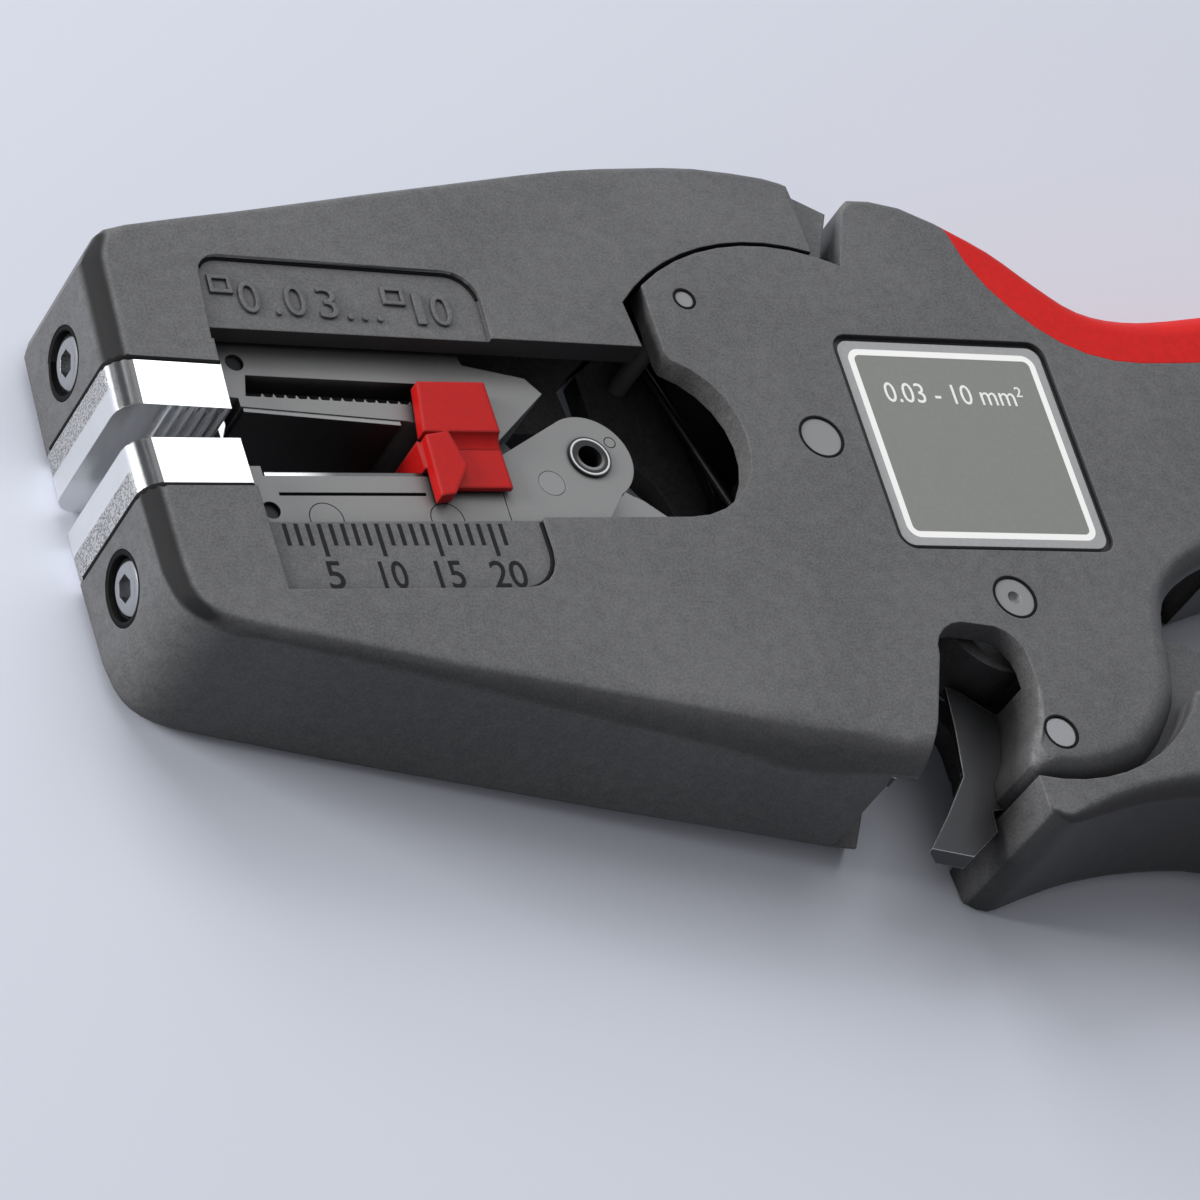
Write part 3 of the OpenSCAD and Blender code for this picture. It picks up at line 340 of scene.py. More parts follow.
def half_blasted(f, tone, rough):
    """Blasts the outer half of the front face, and paints the rounded corner above it dark: a
    painted reflection of a dark room."""
    to_front = -1 * f.facing("X")
    away = abs(f.axis(f.place, "Y") - mouth_middle)
    blasted = away.ramp(blast_from, blast_to) * to_front.ramp(0.9, 0.97)
    pits = f.noise(0.16 * mm, 2, 0.7).ramp(0.36, 0.6)
    tone = f.mix(blasted, tone, f.mix(pits, (0.16, 0.16, 0.16), (0.52, 0.52, 0.52)))
    painted_dark_reflection = f.facing("Z").ramp(0.42, 0.55) * to_front.ramp(0.05, 0.12)
    return f.mix(painted_dark_reflection * 0.93, tone, (0.03, 0.03, 0.03)), rough + 0.35 * blasted

# %% The metals of the record's finishes
finishes.update({
    "polished_steel": brushed_metal("polished_insert", (0.90, 0.90, 0.89), 0.2, (1, 6, 1),
                                    relief=0.08, front=half_blasted),
    "pin_steel": brushed_metal("turned_pin", (0.235, 0.235, 0.235), 0.5, (1, 1, 1), relief=0.2,
                               metallic=0.35),
    "plate_steel": brushed_metal("matt_plate", (0.33, 0.33, 0.325), 0.5, (5, 1, 1), relief=0.12,
                                 metallic=0.3),
    "blade_steel": brushed_metal("ground_blade", (0.62, 0.62, 0.63), 0.26, (1, 8, 1), relief=0.2),
    "carrier_metal": brushed_metal("cast_carrier", (0.225, 0.225, 0.222), 0.52, (1, 1, 1),
                                   marks=0.35 * mm, relief=0.25, metallic=0.2, hollow=1.0),
    "spring_steel": brushed_metal("spring_wire", (0.10, 0.10, 0.10), 0.4, (1, 1, 1)),
})
print("finishes so far:", ", ".join(finishes))

# %% Metals of single parts
blackened = brushed_metal("blackened_blade", (0.035, 0.035, 0.037), 0.34, (1, 5, 1), relief=0.1,
                          metallic=0.6)
ground_edge = brushed_metal("ground_cutter_edge", (0.05, 0.05, 0.052), 0.34, (1, 5, 1), relief=0.1,
                            metallic=0.6, edge=0.16 * mm, edge_steel_and_glint=0.9)
# the blade pins sit deep in their holes; they are painted near-black as the shade in those holes
pin_dark_as_hole_shade = brushed_metal("blued_pin", (0.006, 0.006, 0.006), 0.7, (1, 1, 1), metallic=0.0)
sheared_strip = brushed_metal("sheared_strip", (0.26, 0.26, 0.258), 0.4, (6, 1, 1), metallic=0.2,
                              sheared=(0.02, 0.02, 0.021))
bright_lip = brushed_metal("bright_lip", (0.62, 0.62, 0.61), 0.25, (6, 1, 1),
                           fade=(-48.5 * mm, -44 * mm))
rolled_rivet = brushed_metal("rolled_rivet", (0.30, 0.30, 0.295), 0.32, (1, 1, 1), metallic=0.8)
screw_head = brushed_metal("screw_head", (0.42, 0.42, 0.42), 0.24, (1, 1, 1), relief=0.1)
single = (blackened, ground_edge, pin_dark_as_hole_shade, sheared_strip, bright_lip, rolled_rivet, screw_head)
print("metals of single parts:", ", ".join(metal.name for metal in single))

# %% [markdown]
# ## The hollow rivet's throat
#
# The rivet that joins the carrier, the links and the pull rod is a tube with its end rolled
# over. From above it is a fine bright ring round a dark polished funnel, and here both are
# painted: a painted highlight on the rim, a painted highlight inside, and painted dark in the
# throat. Thin rings of mesh could show that. Its distance from the rivet's middle does it in one
# formula: a narrow band for the rim's highlight, and a wider one, on one side only, for the
# highlight inside the funnel.

# %% A rolled rivet end
rivet_centre, rivet_radius = (-20.8 * mm, -0.3 * mm), 1.9 * mm

def rolled_funnel(name, centre, radius):
    """A painted highlight on the rim; the throat painted dark, with a painted highlight to -Y."""
    f = Finish(name)
    offset = f.node("ShaderNodeVectorMath", {"operation": "SUBTRACT"}, {0: f.place, 1: (*centre, 0)})
    x, y = f.axis(offset, "X"), f.axis(offset, "Y")
    reach = (x * x + y * y).root()
    painted_rim_highlight = (reach.ramp(radius - 0.32 * mm, radius - 0.27 * mm)
              - reach.ramp(radius - 0.16 * mm, radius - 0.11 * mm))
    slope = (reach.ramp(radius - 1.0 * mm, radius - 0.75 * mm)
             - reach.ramp(radius - 0.7 * mm, radius - 0.5 * mm))
    painted_throat_highlight = slope * (0 - y).ramp(-0.4 * mm, 1.2 * mm)        # painted highlight, only on the side that faces -Y
    tone = f.mix(0.6 * painted_rim_highlight + 0.22 * painted_throat_highlight, (0.02, 0.02, 0.02), (0.75, 0.75, 0.74))
    grain = f.noise(0.3 * mm, 2)
    return f.finish(tone, 0.32 + 0.1 * grain, height=grain, strength=0.1, depth=0.01 * mm, Metallic=0.7)

rivet_throat = rolled_funnel("rivet_throat", rivet_centre, rivet_radius)
print("rivet throat:", len(rivet_throat.node_tree.nodes), "nodes")

# %% [markdown]
# ## The label
#
# A square aluminium plate, printed grey-green inside a white line, with its bare rim left
# round it. The line could be a mesh of its own. As a material it can't lift off or flicker:
# the distance to a rounded square is four short sums, and colour follows from the distance.

# %% Printed label
label_centre, label_turn, label_side = (14.9 * mm, -0.5 * mm), math.radians(-1.28), 20.4 * mm
rim_width, line_width, line_corner = 0.8 * mm, 0.6 * mm, 1.2 * mm
blur_in, blur_out = 0.02 * mm, 0.03 * mm             # how soft the print's borders are

def printed_label(centre, turn, side):
    """A printed field inside a white line inside a bare rim, on a square turned about its centre."""
    f = Finish("printed_label")
    local = f.node("ShaderNodeMapping", {"vector_type": "TEXTURE"},
                   {"Location": (*centre, 0), "Rotation": (0, 0, turn), "Vector": f.place})
    x, y = abs(f.axis(local, "X")), abs(f.axis(local, "Y"))
    straight = side / 2 - rim_width - line_corner            # from the centre to where a corner begins
    dx, dy = x - straight, y - straight
    outside = (dx.above(0) * dx.above(0) + dy.above(0) * dy.above(0)).root()
    edge = outside + dx.above(dy).below(0) - line_corner     # under 0 inside the white line's outer edge
    line = edge.ramp(-line_width - blur_in, -line_width + blur_out)      # 1 outside the printed field
    rim = edge.ramp(-blur_in, blur_out)                      # 1 on the bare rim
    grain = f.noise(0.35 * mm, 3)
    field = f.mix(grain, (0.185, 0.195, 0.175), (0.225, 0.235, 0.215))
    bare = f.mix(grain, (0.28, 0.28, 0.275), (0.36, 0.36, 0.355))
    tone = f.mix(rim, f.mix(line, field, (0.97, 0.97, 0.96)), bare)
    return f.finish(tone, 0.42 + 0.1 * grain, height=grain, strength=0.12, depth=0.02 * mm,
                    normal=f.soft_normal(0.08 * mm), Metallic=rim * 0.4)

finishes["label"] = printed_label(label_centre, label_turn, label_side)
print("label:", round(label_side / mm, 1), "mm square")

# %% [markdown]
# ## Inks and shadow lines
#
# The scale is filled dark, the label's figures are white, and thin black rings round the
# pins paint the shade in their gaps. Each is a very thin piece, so its finish needs only a
# little unevenness.

# %% Inks
def ink(name, colour, roughness=0.6):
    """A flat colour with a faint grain."""
    f = Finish(name)
    grain = f.noise(0.2 * mm, 2)
    tone = f.mix(grain, shaded(colour, 0.8), shaded(colour, 1.15))
    return f.finish(tone, roughness - 0.05 + 0.1 * grain, Specular_IOR_Level=0.12)

dark_fill = ink("scale_fill", (0.012, 0.012, 0.012))
white_ink = ink("label_white", (0.95, 0.95, 0.94), 0.45)
shadow_gap = ink("shadow_gap", (0.004, 0.004, 0.004), 0.7)
print("inks:", ", ".join(colour.name for colour in (dark_fill, white_ink, shadow_gap)))

# %% [markdown]
# ## Give each CAD part its finish
#
# The record says which finish each part takes. Parts that are worn, ground or blackened in
# their own way, or that carry painted shade or painted highlights of their own, are named here
# and take a finish of their own. A part whose CAD mesh is right keeps it and only gets the material.

# %% Assign the finishes
own_finish = {
    "upper_jaw_moulding": jaw_plastic,
    "trigger_lever": trigger_plastic,
    "fixed_cutter_blade": ground_edge,
    "moving_cutter_blade": ground_edge,
    "upper_wear_strip": sheared_strip,
    "lower_wear_strip": bright_lip,
    "cutter_rivet": rolled_rivet,
    "hollow_rivet": rivet_throat,
}
own_finish.update(dict.fromkeys(("jaw_bearing_plates", "jaw_plate_pins", "jaw_cam_roller", "jaw_spring",
                                 "trigger_spring"), blackened))
own_finish.update(dict.fromkeys(("upper_blade_pin", "lower_blade_pin"), pin_dark_as_hole_shade))
own_finish.update(dict.fromkeys(("upper_clamp_screw", "lower_clamp_screw"), screw_head))

slot_of = {part["node"]: part["material_slot"] for part in frame["record"]["subparts"]}
body_of = {node: body for body, nodes in frame["record"]["behaviour"]["bodies"].items() for node in nodes}
finish_of = {node: own_finish.get(node, finishes[slot]) for node, slot in slot_of.items()}
for name, obj in frame["nodes"].items():
    obj.data.materials.clear()
    obj.data.materials.append(finish_of[name])
print("finished nodes:", len(finish_of), "with", len(set(finish_of.values())), "finishes")

# %% [markdown]
# ## Smooth copies of the parts that show
#
# CAD hands over loose flat triangles, so rounded edges look cut with a knife. Subdivision
# would swell the shape. Instead each part that shows is copied, its loose corners are merged,
# and shading is smoothed across every edge under a small angle. Weighted normals then keep
# the flat faces flat.

# %% Copy, merge and smooth
smooth_angle = math.radians(32)

def add_piece(name, mesh, body, finish):
    """A new object at the origin, with its place in its mesh, that rides on a body."""
    mesh.materials.clear()
    mesh.materials.append(finish)
    piece = in_scene(name, mesh)
    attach(piece, body)
    return piece

def merged(node):
    """A copy of a part's mesh with its loose corners joined."""
    mesh = frame["nodes"][node].data.copy()
    work = bmesh.new()
    work.from_mesh(mesh)
    bmesh.ops.remove_doubles(work, verts=work.verts, dist=0.002 * mm)
    bmesh.ops.dissolve_limit(work, angle_limit=math.radians(0.4), verts=work.verts, edges=work.edges)
    work.to_mesh(mesh)
    work.free()
    return mesh

def smooth_copy(node, mesh):
    """The piece that takes a CAD part's place, smooth across every edge under smooth_angle."""
    mesh.shade_smooth()
    mesh.set_sharp_from_angle(angle=smooth_angle)
    piece = add_piece(node + "_smooth", mesh, body_of[node], finish_of[node])
    weigh = piece.modifiers.new("keep flats flat", "WEIGHTED_NORMAL")
    weigh.keep_sharp = True
    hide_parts(node)
    print(node, "->", len(mesh.polygons), "faces")

for node in ("main_housing", "soft_saddle", "upper_jaw_moulding", "trigger_lever", "trigger_soft_pad",
             "upper_clamp_screw", "lower_clamp_screw", "hollow_rivet"):
    smooth_copy(node, merged(node))

# %% [markdown]
# ## The inserts' closed front edge
#
# The teeth of the clamping inserts stop short of the side that carries the scale, so that
# side ends in a straight polished edge. A web along the edge closes the ends of the grooves.
# A loose bar laid over them would show its own outline, so a Boolean makes the two one solid.

# %% Close the groove ends
def as_mesh(work, name):
    """The finished bmesh as a mesh of its own."""
    mesh = bpy.data.meshes.new(name)
    work.to_mesh(mesh)
    work.free()
    return mesh

def plain_mesh(holder):
    """What an object shows after its modifiers, as a plain mesh. The object itself goes."""
    seen = holder.evaluated_get(bpy.context.evaluated_depsgraph_get())
    mesh = bpy.data.meshes.new_from_object(seen)
    bpy.data.objects.remove(holder)
    return mesh

def with_web(mesh, x, y, z, turn):
    """The mesh united with a bar that reaches from x[0] to x[1] and so on, in mm."""
    work = bmesh.new()
    bmesh.ops.create_cube(work, size=1)
    bar = as_mesh(work, "web")
    middle = [(low + high) / 2 * mm for low, high in (x, y, z)]
    size = [(high - low) * mm for low, high in (x, y, z)]
    bar.transform(Matrix.Rotation(turn, 4, "Z") @ Matrix.Translation(middle) @ Matrix.Diagonal((*size, 1)))
    blank, web = in_scene("blank", mesh), in_scene("web", bar)
    cut = blank.modifiers.new("web", "BOOLEAN")
    cut.operation, cut.solver, cut.object = "UNION", "EXACT", web
    whole = plain_mesh(blank)
    bpy.data.objects.remove(web)
    return whole

def open_edges(mesh):
    """How many edges of a mesh don't lie between exactly two faces."""
    work = bmesh.new()
    work.from_mesh(mesh)
    count = sum(not edge.is_manifold for edge in work.edges)
    work.free()
    return count

jaw_turn = math.radians(-2.9)                         # how far the open jaw is turned about the main pin
web_x, web_z = (-59.6, -53.41), (14.4, 15.1)
for node, web_y, turn in (("lower_clamp_insert", (-1.7, -0.6), 0.0),
                          ("upper_clamp_insert", (-0.56, 0.54), jaw_turn)):
    mesh = with_web(merged(node), web_x, web_y, web_z, turn)
    smooth_copy(node, mesh)
    print("open edges:", open_edges(mesh))

# %% [markdown]
# ## A soft step on the length stop
#
# The red stop is moulded, so its high block runs out into the low plate in a hollow curve, and
# doesn't end in a cut step. The CAD solid has the step. A fillet by Boolean would touch every
# edge of the stop; a small bar with the curve as its end face, laid into the corner, is
# enough, and it slides with the stop.

# %% Lay a curved bar into the stop's step
def long_bar(name, profile, x0, x1):
    """A closed bar along X; profile: its end face as (y, z) points."""
    work = bmesh.new()
    ends = [[work.verts.new((x, y, z)) for y, z in profile] for x in (x0, x1)]
    for face in ends:
        work.faces.new(face)
    for i in range(len(profile)):
        j = (i + 1) % len(profile)
        work.faces.new((ends[0][i], ends[0][j], ends[1][j], ends[1][i]))
    bmesh.ops.recalc_face_normals(work, faces=work.faces)
    return as_mesh(work, name)

stop_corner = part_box("length_stop")[1]
stop_right, stop_top = stop_corner[0], stop_corner[2]
step_y, step_run, step_rise = 1.1 * mm, 1.3 * mm, 0.7 * mm       # where the block ends, and the curve's reach
bar_length, end_gap, into_plate, into_block = 4.6 * mm, 0.01 * mm, 0.1 * mm, 0.3 * mm
curve_steps = 8
bar_foot, bar_top = stop_top - step_rise - into_plate, stop_top - 0.005 * mm
curve = [(step_y - step_run * (1 - math.cos(a)), stop_top - step_rise * math.sin(a))
         for a in (math.radians(90 * i / curve_steps) for i in range(curve_steps + 1))]
curve += [(step_y - step_run, bar_foot), (step_y + into_block, bar_foot), (step_y + into_block, bar_top)]
step_mesh = long_bar("stop_step_curve", curve, stop_right - bar_length, stop_right - end_gap)
add_piece("stop_step_curve", step_mesh, "stop", finishes["stop_red"])
print("stop's curve:", len(step_mesh.polygons), "faces")

# %% [markdown]
# ## The length scale
#
# Twenty ticks stand under the mouth, one a millimetre, and each fifth is longer. They repeat
# by a rule, so Geometry Nodes make them: a line of points, one small bar on each, and the
# bar's length chosen by the point's number. The tree's inputs are its sizes, so a scale in
# half millimetres is one number away. The result is turned into a plain mesh.

# %% A geometry tree, built in the same way as the materials
class Tree:
    """A Geometry Nodes group with named inputs, run once on an empty mesh or on a path of points."""
    def __init__(self, name):
        self.group = bpy.data.node_groups.new(name, "GeometryNodeTree")
        self.group.interface.new_socket("Path", in_out="INPUT", socket_type="NodeSocketGeometry")
        self.group.interface.new_socket("Geometry", in_out="OUTPUT", socket_type="NodeSocketGeometry")
        self.values = {}

    def number(self, name, value, kind="NodeSocketFloat"):
        """An input of the tree and the value that it takes."""
        socket = self.group.interface.new_socket(name, in_out="INPUT", socket_type=kind)
        self.values[socket.identifier] = value

    def hand_out_inputs(self):
        """Adds the node that hands the inputs out, after the last of them is there."""
        self.inputs = self.group.nodes.new("NodeGroupInput")

    def node(self, kind, settings=None, sockets=None, output=0):
        """One node; a name in place of a value stands for the input of that name."""
        node = self.group.nodes.new(kind)
        for key, value in (settings or {}).items():
            setattr(node, key, value)
        for key, value in (sockets or {}).items():
            if isinstance(value, str):
                self.group.links.new(self.inputs.outputs[value], node.inputs[key])
            elif isinstance(value, bpy.types.NodeSocket):
                self.group.links.new(value, node.inputs[key])
            else:
                node.inputs[key].default_value = value
        return node.outputs[output]

    def maths(self, operation, *values):
        return self.node("ShaderNodeMath", {"operation": operation}, dict(enumerate(values)))

    def vector(self, x=0.0, y=0.0, z=0.0):
        return self.node("ShaderNodeCombineXYZ", {}, {0: x, 1: y, 2: z})

    def bake(self, name, geometry, finish, path=()):
        """Realize, give the finish, and hand back a plain mesh. path: points that the tree may start from."""
        real = self.node("GeometryNodeRealizeInstances", {}, {0: geometry})
        coated = self.node("GeometryNodeSetMaterial", {}, {"Geometry": real, "Material": finish})
        out = self.group.nodes.new("NodeGroupOutput")
        self.group.links.new(coated, out.inputs[0])
        start = bpy.data.meshes.new(name)
        start.from_pydata(path, [(i, i + 1) for i in range(len(path) - 1)], [])
        holder = in_scene(name, start)
        modifier = holder.modifiers.new(name, "NODES")
        modifier.node_group = self.group
        for identifier, value in self.values.items():
            modifier[identifier] = value
        return plain_mesh(holder)


# %% Twenty ticks in one tree
panel_z = 14.7 * mm      # floor of the shallow panels
fill_t = 0.03 * mm       # thickness of a filled mark
tree = Tree("length_ticks")
tree.number("Count", 20, "NodeSocketInt")
for name, value in (("Pitch", 1.0 * mm), ("First X", -51.72 * mm), ("Top Y", -8.25 * mm), ("Short", 2.0 * mm),
                    ("Long", 3.0 * mm), ("Width", 0.36 * mm), ("Thickness", fill_t)):
    tree.number(name, value)
tree.hand_out_inputs()
place_in_five = tree.maths("MODULO", tree.node("GeometryNodeInputIndex"), 5.0)
fifth = tree.maths("COMPARE", place_in_five, 3.0, 0.1)           # the first tick stands for 2 mm
length = tree.maths("MULTIPLY_ADD", fifth, tree.maths("SUBTRACT", "Long", "Short"), "Short")
points = tree.node("GeometryNodeMeshLine", {"mode": "OFFSET"},
                   {"Count": "Count", "Start Location": tree.vector("First X", "Top Y", panel_z),
                    "Offset": tree.vector("Pitch")})
middles = tree.node("GeometryNodeSetPosition", {},
                    {"Geometry": points, "Offset": tree.vector(y=tree.maths("MULTIPLY", length, -0.5))})
bar = tree.node("GeometryNodeMeshCube", {}, {"Size": (1, 1, 1)})
ticks = tree.node("GeometryNodeInstanceOnPoints", {},
                  {"Points": middles, "Instance": bar, "Scale": tree.vector("Width", length, "Thickness")})
mesh = tree.bake("length_ticks", ticks, dark_fill)
add_piece("scale_ticks", mesh, "housing", dark_fill)
print("scale ticks:", len(mesh.polygons) // 6)

# %% [markdown]
# ## Figures
#
# Blender's text object gives clean outlines in its own font. Each figure is made a mesh, then
# fitted into the box that it has on the real tool, because a font's own spacing would not
# match an engraver's. The scale's figures are filled dark; the capacity marks on the upper
# jaw are raised in the jaw's own plastic and turn with the jaw.

# %% Fit a figure into a box
def figure_mesh(text, left, right, low, high, z0, z1, turn=0.0, weight=0.0):
    """Text as a solid that fills the box, turned about the main pin; weight: how much bolder it is."""
    curve = bpy.data.curves.new("figure", "FONT")
    curve.body = text
    curve.size, curve.extrude, curve.offset = 1.0, 0.5, weight
    curve.resolution_u = 4
    holder = in_scene("figure", curve)
    bpy.context.view_layer.update()
    mesh = plain_mesh(holder)
    spots = [v.co for v in mesh.vertices]
    x0, x1 = min(c.x for c in spots), max(c.x for c in spots)
    y0, y1 = min(c.y for c in spots), max(c.y for c in spots)
    for v in mesh.vertices:
        v.co = ((v.co.x - x0) / (x1 - x0) * (right - left) + left,
                (v.co.y - y0) / (y1 - y0) * (high - low) + low,
                z0 + (v.co.z + curve.extrude) * (z1 - z0))
    mesh.transform(Matrix.Rotation(turn, 4, "Z"))
    return mesh

def joined(meshes):
    """Several meshes as one closed mesh."""
    work = bmesh.new()
    for mesh in meshes:
        work.from_mesh(mesh)
    bmesh.ops.remove_doubles(work, verts=work.verts, dist=0.0001 * mm)
    return as_mesh(work, "joined")

# %% A square outline
def square_outline(centre, width, height, line, z0, z1, turn):
    """A square outline with a flat top, as one closed mesh."""
    work = bmesh.new()
    loops = []
    for z in (z0, z1):
        for grow in (0, -line):
            w, h = width / 2 + grow, height / 2 + grow
            loops.append([work.verts.new((centre[0] + x * w, centre[1] + y * h, z))
                          for x, y in ((-1, -1), (1, -1), (1, 1), (-1, 1))])
    out0, in0, out1, in1 = loops
    for a, b in ((out0, out1), (out1, in1), (in1, in0), (in0, out0)):
        for i in range(4):
            work.faces.new((a[i], a[(i + 1) % 4], b[(i + 1) % 4], b[i]))
    bmesh.ops.recalc_face_normals(work, faces=work.faces)
    mesh = as_mesh(work, "outline")
    mesh.transform(Matrix.Rotation(turn, 4, "Z"))
    return mesh

# %% Figures of the length scale
figure_low, figure_high = -14.2 * mm, -11.7 * mm
sunk = 0.02 * mm         # how far the filled figures reach under the panel's floor
figures = []
# each figure with its middle and width in mm
for text, centre, width in (("5", -48.6, 1.4), ("10", -43.5, 2.25), ("15", -38.55, 2.35),
                            ("20", -33.35, 3.1)):
    left, right = (centre - width / 2) * mm, (centre + width / 2) * mm
    figures.append(figure_mesh(text, left, right, figure_low, figure_high, panel_z - sunk,
                               panel_z + fill_t, weight=0.004))
add_piece("scale_figures", joined(figures), "housing", dark_fill)
print("scale figures:", len(figures))

# %% Capacity marks, raised on the upper jaw
mark_low, mark_high, dot_high = 9.0 * mm, 12.0 * mm, 9.5 * mm
mark_foot, mark_top = panel_z - 0.1 * mm, panel_z + 0.22 * mm
marks = []
# each mark with its left and right edge in mm
for text, left, right in (("0", -50.2, -48.4), (".", -47.2, -46.7), ("0", -46.2, -44.4), ("3", -43.3, -41.6),
                          (".", -40.9, -40.4), (".", -39.6, -39.1), (".", -38.3, -37.8),
                          ("1", -34.7, -33.9), ("0", -33.2, -31.4)):
    high = dot_high if text == "." else mark_high
    marks.append(figure_mesh(text, left * mm, right * mm, mark_low, high, mark_foot, mark_top, jaw_turn))

square_y, square_width, square_height, square_line = 11.6 * mm, 2.0 * mm, 1.7 * mm, 0.35 * mm
for square_x in (-51.6 * mm, -36.4 * mm):
    marks.append(square_outline((square_x, square_y), square_width, square_height, square_line,
                                mark_foot, mark_top, jaw_turn))
add_piece("capacity_marks", joined(marks), "upper_jaw", finishes["housing_plastic"])
print("capacity marks:", len(marks))

# %% The label's plain capacity line
label_top = 14.95 * mm           # the plate's printed face
line_text = figure_mesh("0.03 - 10 mm²", left=-6.9 * mm, right=7.0 * mm, low=4.1 * mm, high=6.1 * mm,
                        z0=-0.02 * mm, z1=0.015 * mm)
line_text.transform(Matrix.Translation((*label_centre, label_top)) @ Matrix.Rotation(label_turn, 4, "Z"))
add_piece("label_figures", joined([line_text]), "housing", white_ink)
print("label line:", len(line_text.polygons), "faces")

# %% [markdown]
# ## Gaps round the pins, and the marks left by ejector pins
#
# Each pin sits in a slightly wider hole, and the shade in that gap is painted as a black ring.
# The die-cast carrier and the link carry faint circles where the casting was pushed out of its
# die, and black rings paint the shade in the recesses round the two screws. All are flat rings
# of some radius at some point, so one recipe serves: a circle swept by a tiny profile,
# flattened, turned and put in its place.

# %% Rings from one recipe
ring_sides, profile_sides, flatness = 64, 6, 0.25

def rings(name, spots, line, z, body, finish, turn=(0, 0, 0)):
    """Flat rings, all in one piece. spots: (x, y, radius); spots, line (a ring's width) and z in mm;
    turn: the angles of the rings' plane."""
    meshes = []
    for x, y, radius in spots:
        tree = Tree(name)
        tree.number("Radius", radius * mm)
        tree.number("Line", line * mm / 2)
        tree.number("Place", (x * mm, y * mm, z * mm), "NodeSocketVector")
        tree.number("Turn", turn, "NodeSocketVector")
        tree.hand_out_inputs()
        circle = tree.node("GeometryNodeCurvePrimitiveCircle", {},
                           {"Resolution": ring_sides, "Radius": "Radius"})
        profile = tree.node("GeometryNodeCurvePrimitiveCircle", {},
                            {"Resolution": profile_sides, "Radius": "Line"})
        swept = tree.node("GeometryNodeCurveToMesh", {}, {"Curve": circle, "Profile Curve": profile})
        thin = tree.node("GeometryNodeTransform", {}, {"Geometry": swept, "Scale": (1, 1, flatness)})
        placed = tree.node("GeometryNodeTransform", {},
                           {"Geometry": thin, "Translation": "Place", "Rotation": "Turn"})
        meshes.append(tree.bake(name, placed, finish))
    add_piece(name, joined(meshes), body, finish)
    print(name + ":", len(meshes))

# %% Rings on the faces
body_face, carrier_face, link_face = 15.2, 12.3, 12.25          # heights in mm
gap_line, ejector_line = 0.26, 0.09
# the main pin, the spring's anchor pin, the trigger pin and the cutter's rivet
pin_holes = [(0, 0, 1.98), (-8.55, 13.65, 0.95), (13.2, -15.75, 1.96), (12.73, -28.7, 1.5)]
rings("pin_gaps", pin_holes, gap_line, body_face, "housing", shadow_gap)
rings("ejector_marks", [(-46.3, -6.2, 1.47), (-35.6, -6.2, 1.47)], ejector_line, carrier_face,
      "cassette", dark_fill)
rings("link_ejector_mark", [(-18.35, 1.25, 0.5)], ejector_line, link_face, "cassette",
      dark_fill)

# %% Rings round the screw heads
def turned(point, turn):
    """A point turned about the main pin."""
    return tuple(Matrix.Rotation(turn, 3, "Z") @ Vector(point))

quarter = math.pi / 2
recess_x, recess_radius, recess_line = -62.7, 2.82, 0.52        # in mm; the rings stand upright
screws_middle, screw_reach, half_thickness = -0.58, 8.9, 7.6
rings("lower_screw_shade", [(recess_x, screws_middle - screw_reach, recess_radius)], recess_line,
      half_thickness, "housing", shadow_gap, (0, quarter, 0))
spot = turned((recess_x, screws_middle + screw_reach, 0), jaw_turn)
rings("upper_screw_shade", [(spot[0], spot[1], recess_radius)], recess_line, half_thickness, "upper_jaw",
      shadow_gap, (0, quarter, jaw_turn))

# %% [markdown]
# ## Seams, and the shade in the corners of the panels
#
# Where two pieces meet, light doesn't get in and a fine dark line shows. Rendered models often
# lack it, because their pieces fit without a gap. The line could be painted on, but then it
# would have to know where the other piece ends. Here it is a thin cord laid along the seam, a
# little under the surface, swept by a second small tree from a list of points.

# %% A cord along a path
cord_sides = 16

def seam(name, path, body, radius):
    """A fine dark line swept along a path; path and radius in mm."""
    tree = Tree(name)
    tree.number("Radius", radius * mm)
    tree.hand_out_inputs()
    line = tree.node("GeometryNodeMeshToCurve", {}, {0: "Path"})
    profile = tree.node("GeometryNodeCurvePrimitiveCircle", {},
                        {"Resolution": cord_sides, "Radius": "Radius"})
    swept = tree.node("GeometryNodeCurveToMesh", {},
                      {"Curve": line, "Profile Curve": profile, "Fill Caps": True})
    mesh = tree.bake(name, swept, shadow_gap, [[c * mm for c in point] for point in path])
    add_piece(name, mesh, body, shadow_gap)
    print(name + ":", len(path), "points")

def arc(centre, radius, start, end, z, steps=8):
    """Points in mm along an arc of a level circle; angles in degrees."""
    angles = [math.radians(start + (end - start) * i / steps) for i in range(steps + 1)]
    return [(centre[0] + radius * math.cos(a), centre[1] + radius * math.sin(a), z) for a in angles]

# %% Seams between the clamping inserts and the mouldings
def insert_edge(y, turn):
    """Points in mm along the side with the scale, round the corner and down the front of an insert."""
    front, rear, top, bottom, radius, steps = -62.34, -53.45, 14.71, 2.2, 1.54, 8
    path = [(rear, y, top)]
    for step in range(steps + 1):
        angle = math.radians(90 + 90 * step / steps)
        path.append((front + radius + radius * math.cos(angle), y, top - radius + radius * math.sin(angle)))
    path.append((front, y, bottom))
    return [turned(point, turn) for point in path]

upper_seam_y, lower_seam_y, seam_radius = 3.86, -5.02, 0.5
seam("upper_insert_seam", insert_edge(upper_seam_y, jaw_turn), "upper_jaw", seam_radius)
seam("lower_insert_seam", insert_edge(lower_seam_y, 0.0), "housing", seam_radius)

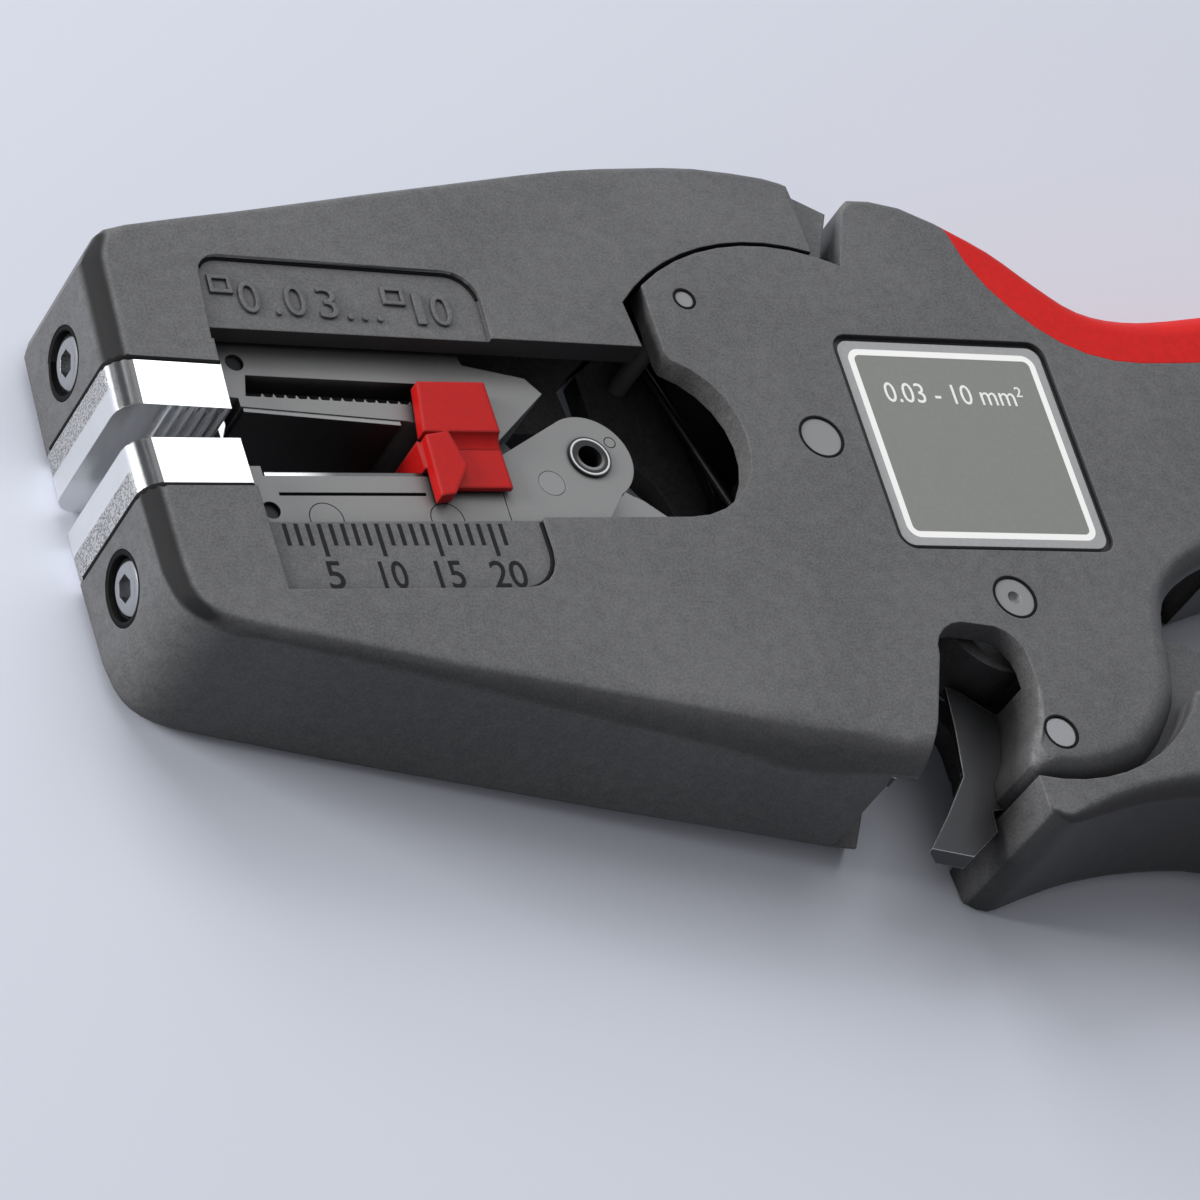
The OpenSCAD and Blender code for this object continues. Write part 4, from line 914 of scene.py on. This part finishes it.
# %% Shade at the rounded ends of the two panels
foot = 14.68                              # in mm, just under the floor of the panels
scale_shade, capacity_shade = 0.2, 0.18   # radius of the cords
panel_end = arc((-32.4, -10.9), radius=3.45, start=-80, end=0, z=foot) + [(-28.95, -8.2, foot)]
seam("scale_panel_shade", panel_end, "housing", scale_shade)
right_end = arc((-31.4, 11.5), radius=2.68, start=8, end=90, z=foot)
left_end = arc((-51.4, 12.3), radius=1.88, start=90, end=150, z=foot)
seam("capacity_panel_shade", [turned(point, jaw_turn) for point in right_end + left_end], "upper_jaw",
     capacity_shade)

# %% [markdown]
# ## Floor, world and lamps
#
# The photograph's ground is an even pale blue-grey. Here it is the floor's own colour. The
# lamps stay at a plain level, so that a colour comes out about as it is written: one at the
# left for the inserts, one high up, and a key light at the upper left. A brighter world could
# whiten the ground, but would wash out the dark mouth. So the world stays dim, and only rays
# from the camera and from mirrors see the pale ground, which polished metal then reflects.

# %% Floor
ground, dim_ground = (0.665, 0.695, 0.785), (0.16, 0.165, 0.18)
floor_reach, floor_z = 3.0, -0.05 * mm            # from its middle to each side, and just under the tool
work = bmesh.new()
bmesh.ops.create_grid(work, x_segments=1, y_segments=1, size=floor_reach)
floor_mesh = as_mesh(work, "floor")
floor_mesh.transform(Matrix.Translation((0, 0, floor_z)))
floor = in_scene("floor", floor_mesh)
paint = Finish("pale_floor")
pale = paint.mix(paint.noise(0.4, 2), ground, shaded(ground, 1.03))
seen_colour = paint.mix(paint.in_sight(), dim_ground, pale)
floor_mesh.materials.append(paint.finish(seen_colour, 0.75, Specular_IOR_Level=0.2))
print("floor:", [round(side, 1) for side in floor.dimensions], "m")

# %% World and lamps
sky = Finish("studio", world=True)
dim = sky.node("ShaderNodeBackground", {}, {"Color": (1, 1, 1, 1), "Strength": 0.26})
seen = sky.node("ShaderNodeBackground", {}, {"Color": (*ground, 1), "Strength": 1.0})
either = sky.node("ShaderNodeMixShader", {}, {0: sky.in_sight(), 1: dim, 2: seen})
sky.tree.links.new(either.socket, sky.tree.nodes.new("ShaderNodeOutputWorld").inputs["Surface"])
bpy.context.scene.world = sky.material

def softbox(name, place, aim, size, power):
    """A square lamp at place that looks at aim; size in metres, power in watts."""
    lamp = bpy.data.lights.new(name, "AREA")
    lamp.shape, lamp.size, lamp.energy = "SQUARE", size, power
    away = Vector(aim) - Vector(place)
    towards = away.to_track_quat("-Z", "Y").to_matrix().to_4x4()
    obj = in_scene(name, lamp)
    obj.matrix_world = Matrix.Translation(place) @ towards
    print(name, "stands", round(away.length, 2), "m away")

softbox("front_softbox", (-0.82, 0.28, 0.22), (-0.02, 0, 0.01), 0.35, 8.0)
softbox("top_softbox", (0.20, 0.45, 0.92), (0.0, 0, 0.01), 0.7, 2.6)
softbox("key_softbox", (-0.20, 0.72, 0.58), (-0.03, 0, 0.01), 0.5, 3.6)
